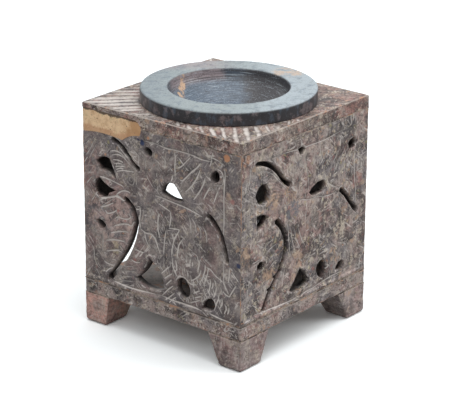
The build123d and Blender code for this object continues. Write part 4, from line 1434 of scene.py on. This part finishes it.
class BURNER_OT_dress_plates(bpy.types.Operator):
    """Grooves the top plate and wears the floor plate"""

    bl_idname = "burner.dress_plates"
    bl_label = "Dress plates"

    def execute(self, context):
        carving = context.scene.burner_carving
        self.top_plate(carving)
        self.floor_plate()
        return {"FINISHED"}

    def top_plate(self, carving):
        """Grooves the top plate, dusts its grooves and pale corner, and chips its edges."""
        bm = node_mesh("top_slab")
        bm.normal_update()
        step = working_step() * TOP_STEPS
        upper = [side for side in bm.faces if side.normal.z > FACING]
        cut_grid(bm, upper, (ALONG_X, ALONG_Y), step)
        self.cut_sides(bm, FACING, TOP_DEPTH, step)
        bm.normal_update()
        layers = (bm.verts.layers.float["groove"], bm.verts.layers.float["wear"])
        upper_level = box_high.z - TOP_STRIP
        top = [corner for corner in bm.verts if corner.co.z > upper_level and corner.normal.z > LEANING]
        grooves = corner_grooves(top)
        inset = np.array([-side_reach(corner) for corner in top]) / MM
        seat = np.array([axis_distance(corner) for corner in top]) / MM
        bare = smooth_step(seat, *RIM_COVER)
        chips = np.clip(rough(top, 0.35, 41), 0, 1)
        edge = np.clip(1 - inset / TOP_EDGE, 0, 1)
        waves = 0.5 + 0.5 * rough(top, 0.12, 42)
        depth = carving.groove_depth / MM * grooves * bare
        depth = depth + (carving.unevenness / MM * waves + edge * chips * 0.5) * bare
        near_tip = np.array([hypot(corner.co.x - box_low.x, corner.co.y - box_high.y) for corner in top]) / MM
        chalked = (1 - smooth_step(near_tip, *PALE_REACH)) * (0.48 + 0.5 * (waves - 0.5))
        powder = np.maximum(grooves * 1.1, chalked * (0.42 + 0.58 * smooth_step(grooves, 0.02, 0.12)))
        powder = np.maximum(powder * bare, 0.12 * waves)
        weather(top, depth, layers, powder, edge)
        rim = [corner for corner in self.outside(bm) if abs(corner.normal.z) <= LEANING]
        chips = np.clip(rough(rim, 0.4, 43), 0, 1)
        weather(rim, 0.1 + 0.25 * chips, layers, np.zeros(len(rim)), chips * 0.4)
        ground = bpy.context.scene.burner_stone.russet
        material = soapstone("top_stone", (29, 63, 87), FLAT_WAYS, ground, 0.6, 0.3, 0.5)
        place_piece("grooved_top_plate", bm, "burner", "brown_soapstone", material, "top_slab")

    def floor_plate(self):
        """Breaks and wears the floor plate's edges."""
        bm = node_mesh("base_slab")
        bmesh.ops.dissolve_limit(bm, angle_limit=radians(1), verts=bm.verts, edges=bm.edges)
        bmesh.ops.bevel(
            bm, geom=bm.edges[:], offset=FLOOR_BEVEL, segments=2, profile=0.5, affect="EDGES", material=-1
        )
        bm.normal_update()
        self.cut_sides(bm, LEANING, FLOOR_DEPTH, working_step() * FLOOR_STEPS)
        bm.normal_update()
        layers = (bm.verts.layers.float["groove"], bm.verts.layers.float["wear"])
        rim = self.outside(bm)
        chips = np.clip(rough(rim, 0.35, 51), 0, 1)
        middle = sum(point.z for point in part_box("base_slab")) / 2
        edge = np.array([abs(corner.co.z - middle) for corner in rim]) / MM
        edge = smooth_step(edge, *FLOOR_EDGE)
        weather(rim, 0.06 + 0.12 * chips + 0.25 * chips * edge, layers, chips * 0.25, edge * 0.8)
        ground = bpy.context.scene.burner_stone.brown
        material = soapstone("floor_stone", (71, 37, 53), FLAT_WAYS, ground, 0.6, 0.6, 0.4)
        place_piece("worn_floor_plate", bm, "burner", "brown_soapstone", material, "base_slab")

    def cut_sides(self, bm, facing, depth, step):
        """Cuts a grid into a plate's four sides: the faces whose middle lies no deeper inside the box."""
        for axis in (ALONG_X, ALONG_Y):
            limit = box_high.dot(axis) - depth
            for sign in (-1, 1):
                outer = [side for side in bm.faces if side.normal.dot(axis * sign) > facing]
                outer = [side for side in outer if abs(side.calc_center_median().dot(axis)) > limit]
                cut_grid(bm, outer, (Vector((axis.y, axis.x, 0)), UP), step)

    def outside(self, bm):
        """Corners on a plate's four sides."""
        return [corner for corner in bm.verts if side_reach(corner) > -SIDE_STRIP]


# How much wider than the CAD feet the sawn feet are: (at the top, at the bottom) along X, then along Y
FOOT_STRETCH = {
    "foot_front_left": ((1.08, 1.07), (1.0, 0.92)),
    "foot_front_right": ((1.14, 1.0), (1.0, 1.0)),
    "foot_rear_left": ((1.39, 1.18), (1.0, 1.0)),
    "foot_rear_right": ((1.14, 1.0), (1.0, 1.0)),
}
# Saw marks of the feet, in radians of a wave per millimetre up and across, the ends that stay flat, and the
# mesh spacing in working steps
SAW_PITCH = 3.3
SAW_LEAN = 0.5
FLAT_END = 0.05 * MM
FOOT_STEPS = 1.5


class BURNER_OT_saw_feet(bpy.types.Operator):
    """Saws and wears the four feet"""

    bl_idname = "burner.saw_feet"
    bl_label = "Saw feet"

    def execute(self, context):
        stone = context.scene.burner_stone
        grounds = {"foot_rear_left": stone.petal, "foot_front_right": stone.mallow}
        for index, node in enumerate(FOOT_STRETCH):
            bm = node_mesh(node)
            low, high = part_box(node)
            self.widen(bm, low, high, FOOT_STRETCH[node])
            bm.normal_update()
            cut_grid(bm, list(bm.faces), (ALONG_X, ALONG_Y, UP), working_step() * FOOT_STEPS)
            bm.normal_update()
            layers = (bm.verts.layers.float["groove"], bm.verts.layers.float["wear"])
            side = [corner for corner in bm.verts if FLAT_END < corner.co.z < high.z - FLAT_END]
            saw = np.array([sin((corner.co.z * SAW_PITCH + corner.co.x * SAW_LEAN) / MM) for corner in side])
            chips = np.clip(rough(side, 0.3, 61 + index), 0, 1)
            grit = rough(side, 0.9, 71 + index)
            sharp = np.array([1 - max(abs(part) for part in corner.normal) for corner in side])
            sharp = smooth_step(sharp, 0.1, 0.3)
            drops = 0.05 + 0.03 * saw + 0.12 * chips + 0.05 * grit + 0.2 * sharp * (0.3 + chips)
            weather(side, np.clip(drops, 0, None), layers, 0.25 * chips + 0.12 * (saw > 0.6), sharp * 0.8)
            drift = (13 + 19 * index, 83 - 11 * index, 7 * index)
            ground = grounds.get(node, stone.rosewood)
            material = soapstone(f"{node}_stone", drift, (UP, *FLAT_WAYS), ground, 0.2, 0.2, 0.35, (), 0.55)
            place_piece(f"sawn_{node}", bm, "burner", "brown_soapstone", material, node, sharp=50)
        return {"FINISHED"}

    def widen(self, bm, low, high, stretch):
        """Draws the foot out from its outer sides, by one measure at its top and another at its bottom."""
        for axis, (top, bottom) in enumerate(stretch):
            outer = high[axis] if high[axis] > 0 else low[axis]
            for corner in bm.verts:
                share = (corner.co.z - low.z) / (high.z - low.z)
                corner.co[axis] = outer + (corner.co[axis] - outer) * (bottom + (top - bottom) * share)


# Corner seams, in metres: mesh spacing, and how deep inside the box's sides their outer corners lie
SEAM_STEP = 0.6 * MM
SEAM_STRIP = 0.25 * MM


class BURNER_OT_point_seams(bpy.types.Operator):
    """Dresses the glue seams and presses the filler over the chipped corner"""

    bl_idname = "burner.point_seams"
    bl_label = "Point seams"

    def execute(self, context):
        glue = seam_glue("seam_glue", 0.2)
        for node in ("top_glue_bed", "base_glue_bed", "foot_glue"):
            dress_node(node, glue)
        self.corner_seams(seam_glue("corner_glue", 0.8))
        self.filler()
        return {"FINISHED"}

    def corner_seams(self, glue):
        """Sinks the glue of the mitred corners a little below the stone."""
        bm = node_mesh("corner_glue")
        cut_grid(bm, list(bm.faces), (UP,), SEAM_STEP)
        outer = [corner for corner in bm.verts if side_reach(corner) > -SEAM_STRIP]
        drops = 0.22 + 0.12 * rough(outer, 0.5, 81)
        for corner, drop in zip(outer, drops):
            inward = Vector((-corner.co.x, -corner.co.y, 0)).normalized()
            corner.co += inward * (drop * MM)
        place_piece("corner_seams", bm, "burner", "stone_glue", glue, "corner_glue")

    def filler(self):
        """Rubs the filler down: wavy, pitted and thin at its edge."""
        bm = node_mesh("filler_patch")
        bm.normal_update()
        low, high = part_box("filler_patch")
        facing = [side for side in bm.faces if side.normal.x < -FACING]
        front = [side for side in facing if abs(side.verts[0].co.x - low.x) < PLANE_TOLERANCE]
        cut_grid(bm, front, (ALONG_Y, UP), working_step())
        outer = [corner for corner in bm.verts if abs(corner.co.x - low.x) < PLANE_TOLERANCE]
        waves = 0.5 + 0.5 * rough(outer, 0.16, 91)
        pits = np.clip(rough(outer, 0.55, 92) - 0.35, 0, 1)
        trowel = np.array([sin(corner.co.z / MM * 2.1 + corner.co.y / MM * 0.35) for corner in outer])
        edge = np.array([smooth_step((high.y - corner.co.y) / MM, 0.0, 1.5) for corner in outer])
        drops = 0.05 + 0.16 * waves + 0.5 * pits + 0.03 * trowel + 0.3 * (1 - edge)
        for corner, drop in zip(outer, drops):
            corner.co.x += max(drop, 0) * MM
        place_piece("rubbed_filler", bm, "burner", "tan_filler", filler_paste(), "filler_patch")


# Steps of the bowl's arc, room between the rim and the top plate, and the share of a corner's level that
# counts towards its run along the bowl
BOWL_STEPS = 12
SEAT_GAP = 0.02 * MM
LEVEL_RUN = 0.7


class BURNER_OT_turn_dish(bpy.types.Operator):
    """Turns the oil dish"""

    bl_idname = "burner.turn_dish"
    bl_label = "Turn dish"

    def execute(self, context):
        dish = context.scene.burner_dish
        rim_top = dish_high.z
        seat = box_high.z + SEAT_GAP
        floor = rim_top - dish.bowl_depth
        rise = rim_top - dish.step_depth - floor
        sweep = (dish.step_radius**2 + rise**2) / (2 * rise)
        centre = Vector((dish_centre.x, dish_centre.y, 0))
        bm = bmesh.new()
        start = bm.verts.new(centre + UP * floor)
        bmesh.ops.spin(
            bm,
            geom=[start],
            cent=centre + UP * (floor + sweep),
            axis=-ALONG_Y,
            angle=asin(dish.step_radius / sweep),
            steps=BOWL_STEPS,
        )
        bm.verts.ensure_lookup_table()
        bowl_end = max(bm.verts, key=lambda corner: corner.co.x)
        outline = [
            (bowl_radius, rim_top, 0.6 * MM),
            (dish_radius, rim_top, 0.9 * MM),
            (dish_radius, seat, 0.5 * MM),
            (dish.neck_radius, seat, 0),
            (dish.neck_radius, box_high.z - dish.neck_depth, 0.5 * MM),
            (dish.foot_radius, dish_low.z, 0.5 * MM),
            (0, dish_low.z, 0),
        ]
        step = dish.ring_step * coarseness()
        turns = dish.turns // coarseness()
        turned(bm, outline, centre, step, turns, bowl_end, [(bowl_end, dish.step_round)])
        self.turning_marks(bm, dish, floor)
        place_piece("turned_dish", bm, "dish", "blue_soapstone", dish_stone(), "oil_dish", sharp=40)
        return {"FINISHED"}

    def turning_marks(self, bm, dish, floor):
        """Cuts turning rings into the bowl and chips the rim."""
        corners = list(bm.verts)
        chips = np.clip(rough(corners, 0.3, 101) - 0.25, 0, 1)
        normals = [corner.normal.copy() for corner in corners]
        for corner, normal, chip in zip(corners, normals, chips):
            away = axis_distance(corner)
            bowl = away < bowl_radius - 0.2 * MM and corner.co.z > floor - 0.1 * MM
            run = (away + (corner.co.z - floor) * LEVEL_RUN) / MM
            ring = noise.noise(Vector((run * 1.25, 5.0, 9.0))) * 0.6
            ring += noise.noise(Vector((run * 3.1, 15.0, 2.0))) * 0.4
            drop = 0.0
            if bowl:
                drop = dish.ring_depth / MM * ring
            elif normal.z > 0.9 and corner.co.z > dish_high.z - 0.1 * MM:
                drop = 0.05 * (0.5 + 0.5 * ring)
            elif away > dish_radius - 1.2 * MM and corner.co.z > box_high.z + 0.4 * MM:
                drop = 0.03 + 0.35 * chip * (1 - abs(normal.z)) + 0.03 * (0.5 + 0.5 * ring)
            corner.co -= normal * (drop * MM)


# Tealight: mesh spacing of the turned pieces, steps round the cup and the wax, flutes pressed round the cup
# and their depth, the cup's lip, how far the wax keeps off the cup's side, its floor and its own top at the
# wick, and the mesh spacing of the wick
TURNED_STEP = 1.2 * MM
CUP_TURNS = 144
WAX_TURNS = 96
CUP_FLUTES = 48
FLUTE_DEPTH = 0.04 * MM
LIP_WIDTH = 0.7 * MM
LIP_HEIGHT = 0.35 * MM
WAX_ROOM = 0.12 * MM
WAX_LIFT = 0.02 * MM
WAX_SINK = 0.1 * MM
WICK_STEP = 0.16 * MM
# Braid of the wick: strands' turns round it and radians per millimetre up it, and their depth as a share
STRAND_TURNS = 1.5
STRAND_PITCH = 2.6
STRAND_DEPTH = 0.22


class BURNER_OT_pour_tealight(bpy.types.Operator):
    """Presses the tealight's cup, pours its wax and braids its wick"""

    bl_idname = "burner.pour_tealight"
    bl_label = "Pour tealight"

    def execute(self, context):
        tealight = context.scene.burner_tealight
        self.cup(tealight)
        self.wax()
        self.wick()
        dress_node("wick_tab", cup_metal("tab_steel", tealight.steel, 0.35, 1.0))
        return {"FINISHED"}

    def cup(self, tealight):
        """Presses the cup from thin sheet, with a lip and fine flutes."""
        low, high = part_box("tealight_cup")
        wax_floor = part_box("tealight_wax")[0].z
        lip = high.x
        outer = lip - LIP_WIDTH
        inner = outer - (wax_floor - low.z)
        outline = [
            (0, low.z, 0),
            (outer - 4.0 * MM, low.z, 0),
            (outer, low.z, 1.2 * MM),
            (outer, high.z - LIP_HEIGHT, 0.2 * MM),
            (lip, high.z - LIP_HEIGHT, 0.15 * MM),
            (lip, high.z, 0.15 * MM),
            (inner, high.z, 0.25 * MM),
            (inner, wax_floor, 0.9 * MM),
            (0, wax_floor, 0),
        ]
        bm = bmesh.new()
        turned(bm, outline, Vector((0, 0, 0)), TURNED_STEP, CUP_TURNS)
        for corner in bm.verts:
            away = hypot(corner.co.x, corner.co.y)
            if away > inner - 0.1 * MM and low.z + 2 * MM < corner.co.z < high.z - 0.5 * MM:
                flute = 0.5 + 0.5 * cos(CUP_FLUTES * atan2(corner.co.y, corner.co.x))
                press = FLUTE_DEPTH * flute * (corner.co.z - low.z) / (high.z - low.z)
                corner.co.x *= 1 - press / away
                corner.co.y *= 1 - press / away
        material = cup_metal("cup_aluminium", tealight.aluminium, 0.24, 3.0)
        place_piece("pressed_cup", bm, "tealight", "cup_aluminium", material, "tealight_cup", sharp=50)

    def wax(self):
        """Pours the wax, which stands up at the cup and at the wick."""
        low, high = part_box("tealight_wax")
        radius = (high.x - low.x) / 2 - WAX_ROOM
        outline = [
            (0, low.z + WAX_LIFT, 0),
            (radius, low.z + WAX_LIFT, 0.9 * MM),
            (radius, high.z, 0.12 * MM),
            (radius - 1.0 * MM, high.z - 0.35 * MM, 0.4 * MM),
            (2.2 * MM, high.z - 0.45 * MM, 0.5 * MM),
            (0.9 * MM, high.z - WAX_SINK, 0),
            (0, high.z - WAX_SINK, 0),
        ]
        bm = bmesh.new()
        turned(bm, outline, Vector((0, 0, 0)), TURNED_STEP, WAX_TURNS)
        for corner in bm.verts:
            if corner.normal.z > 0.4 and corner.co.z > high.z - 0.6 * MM:
                corner.co.z += 0.06 * MM * (noise.noise(corner.co * 220) - 1)
        place_piece("poured_wax", bm, "tealight", "candle_wax", candle_wax(), "tealight_wax", sharp=60)

    def wick(self):
        """Braids the wick along its bend."""
        low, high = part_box("tealight_wick")
        wax_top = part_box("tealight_wax")[1].z
        bm = node_mesh("tealight_wick")
        cut_grid(bm, list(bm.faces), (UP,), WICK_STEP)
        thick = -low.x
        lean = high.x - thick
        rise = high.z - wax_top
        sweep = (lean**2 + rise**2) / (2 * lean)
        for corner in bm.verts:
            above = max(corner.co.z - wax_top, 0)
            middle = sweep - sqrt(max(sweep**2 - above**2, 0))
            across = Vector((corner.co.x - middle, corner.co.y, 0))
            turn = atan2(across.y, across.x)
            run = corner.co.z / MM * STRAND_PITCH
            strand = max(abs(sin(STRAND_TURNS * turn + run)), abs(sin(STRAND_TURNS * turn - run)))
            corner.co -= across * (STRAND_DEPTH * (1 - strand))
        place_piece("braided_wick", bm, "tealight", "wick_cotton", wick_cotton(), "tealight_wick", sharp=80)


# Stage: cast of the floor as the camera sees it, half the floor's width, where each lamp stands and how wide
# it is, and what the lamps point at, in metres. The camera's sensor is in millimetres
FLOOR_TINT = (0.965, 1.0, 1.012)
FLOOR_SIZE = 4.0
LAMPS = {
    "key": ((0.05, -0.08, 1.25), 1.3),
    "side": ((0.75, -1.0, 0.75), 0.8),
    "left": ((-1.0, -0.35, 0.9), 0.7),
}
LAMP_TARGET = Vector((0, 0, 0.05))
SENSOR_WIDTH = 36


class BURNER_OT_set_stage(bpy.types.Operator):
    """Sets the floor, the lamps, the world and the camera"""

    bl_idname = "burner.set_stage"
    bl_label = "Set stage"

    def execute(self, context):
        stage = context.scene.burner_stage
        self.floor(stage)
        self.world(stage)
        for name, (place, size) in LAMPS.items():
            self.lamp(f"{name}_lamp", Vector(place), size, getattr(stage, f"{name}_power"))
        self.camera(stage)
        context.scene.view_settings.view_transform = "Standard"
        return {"FINISHED"}

    def floor(self, stage):
        """White table, brighter to the camera than in the light that it throws back."""
        bm = bmesh.new()
        bmesh.ops.create_grid(bm, x_segments=1, y_segments=1, size=FLOOR_SIZE)
        mesh = bpy.data.meshes.new("white_table")
        bm.to_mesh(mesh)
        bm.free()
        material, shader, wire = new_material("white_table")
        rays = wire.add("ShaderNodeLightPath", output="Is Camera Ray")
        white = wire.paint(stage.floor).blend(rays, [stage.floor_gain * share for share in FLOOR_TINT])
        plug(shader, Base_Color=white, Roughness=1.0, Specular_IOR_Level=0.0)
        mesh.materials.append(material)
        floor = bpy.data.objects.new("white_table", mesh)
        bpy.context.scene.collection.objects.link(floor)

    def world(self, stage):
        """Even light from all round, white to the camera and in reflections."""
        world = bpy.data.worlds.new("studio")
        world.use_nodes = True
        bpy.context.scene.world = world
        tree = world.node_tree
        background = next(node for node in tree.nodes if node.type == "BACKGROUND")
        wire = Wire(tree)
        seen = wire.add("ShaderNodeLightPath", output="Is Camera Ray")
        for kind in ("Is Glossy Ray", "Is Transmission Ray"):
            seen = seen | wire.add("ShaderNodeLightPath", output=kind)
        level = seen * (1 - stage.fill) + stage.fill
        background.inputs["Color"].default_value = (1, 1, 1, 1)
        tree.links.new(level.socket, background.inputs["Strength"])

    def lamp(self, name, place, size, power):
        """Soft square lamp that points at the burner."""
        light = bpy.data.lights.new(name, "AREA")
        light.shape = "SQUARE"
        light.size = size
        light.energy = power
        lamp = bpy.data.objects.new(name, light)
        bpy.context.scene.collection.objects.link(lamp)
        lamp.location = place
        lamp.rotation_euler = (LAMP_TARGET - place).to_track_quat("-Z", "Y").to_euler()

    def camera(self, stage):
        """Camera at the photo's place."""
        back = Vector((
            sin(stage.azimuth) * cos(stage.elevation),
            -cos(stage.azimuth) * cos(stage.elevation),
            sin(stage.elevation),
        ))
        right = UP.cross(back).normalized()
        above = back.cross(right)
        turned_right = right * cos(stage.roll) + above * sin(stage.roll)
        turned_up = above * cos(stage.roll) - right * sin(stage.roll)
        lens = bpy.data.cameras.new("camera")
        lens.lens = stage.lens
        lens.sensor_width = SENSOR_WIDTH
        lens.shift_x = stage.shift_x
        lens.shift_y = stage.shift_y
        camera = bpy.data.objects.new("camera", lens)
        bpy.context.scene.collection.objects.link(camera)
        place = UP * stage.aim_height + back * stage.distance
        basis = Matrix((turned_right, turned_up, back)).transposed().to_4x4()
        camera.matrix_world = Matrix.Translation(place) @ basis
        bpy.context.scene.camera = camera


class BURNER_PT_panel(bpy.types.Panel):
    """Lists the burner's operators and settings"""

    bl_label = "Oil burner"
    bl_idname = "BURNER_PT_panel"
    bl_space_type = "VIEW_3D"
    bl_region_type = "UI"
    bl_category = "Oil burner"

    def draw(self, context):
        for operator in OPERATORS:
            self.layout.operator(operator.bl_idname)
        for name in SETTINGS:
            box = self.layout.box()
            settings = getattr(context.scene, name)
            for prop in settings.bl_rna.properties:
                if prop.identifier not in {"rna_type", "name"}:
                    box.prop(settings, prop.identifier)


SETTINGS = {
    "burner_stone": StoneSettings,
    "burner_carving": CarvingSettings,
    "burner_dish": DishSettings,
    "burner_tealight": TealightSettings,
    "burner_seam": SeamSettings,
    "burner_stage": StageSettings,
}
OPERATORS = (
    BURNER_OT_carve_walls,
    BURNER_OT_dress_plates,
    BURNER_OT_saw_feet,
    BURNER_OT_point_seams,
    BURNER_OT_turn_dish,
    BURNER_OT_pour_tealight,
    BURNER_OT_set_stage,
)


def register():
    """Adds the settings, the operators and the panel."""
    for name, settings in SETTINGS.items():
        bpy.utils.register_class(settings)
        setattr(bpy.types.Scene, name, PointerProperty(type=settings))
    for operator in OPERATORS:
        bpy.utils.register_class(operator)
    bpy.utils.register_class(BURNER_PT_panel)


def unregister():
    """Takes the panel, the operators and the settings away again."""
    bpy.utils.unregister_class(BURNER_PT_panel)
    for operator in reversed(OPERATORS):
        bpy.utils.unregister_class(operator)
    for name, settings in reversed(SETTINGS.items()):
        delattr(bpy.types.Scene, name)
        bpy.utils.unregister_class(settings)


def main():
    """Builds the scene."""
    register()
    bpy.ops.burner.set_stage()
    bpy.ops.burner.carve_walls()
    bpy.ops.burner.dress_plates()
    bpy.ops.burner.saw_feet()
    bpy.ops.burner.point_seams()
    bpy.ops.burner.turn_dish()
    bpy.ops.burner.pour_tealight()


if __name__ == "__main__":
    main()
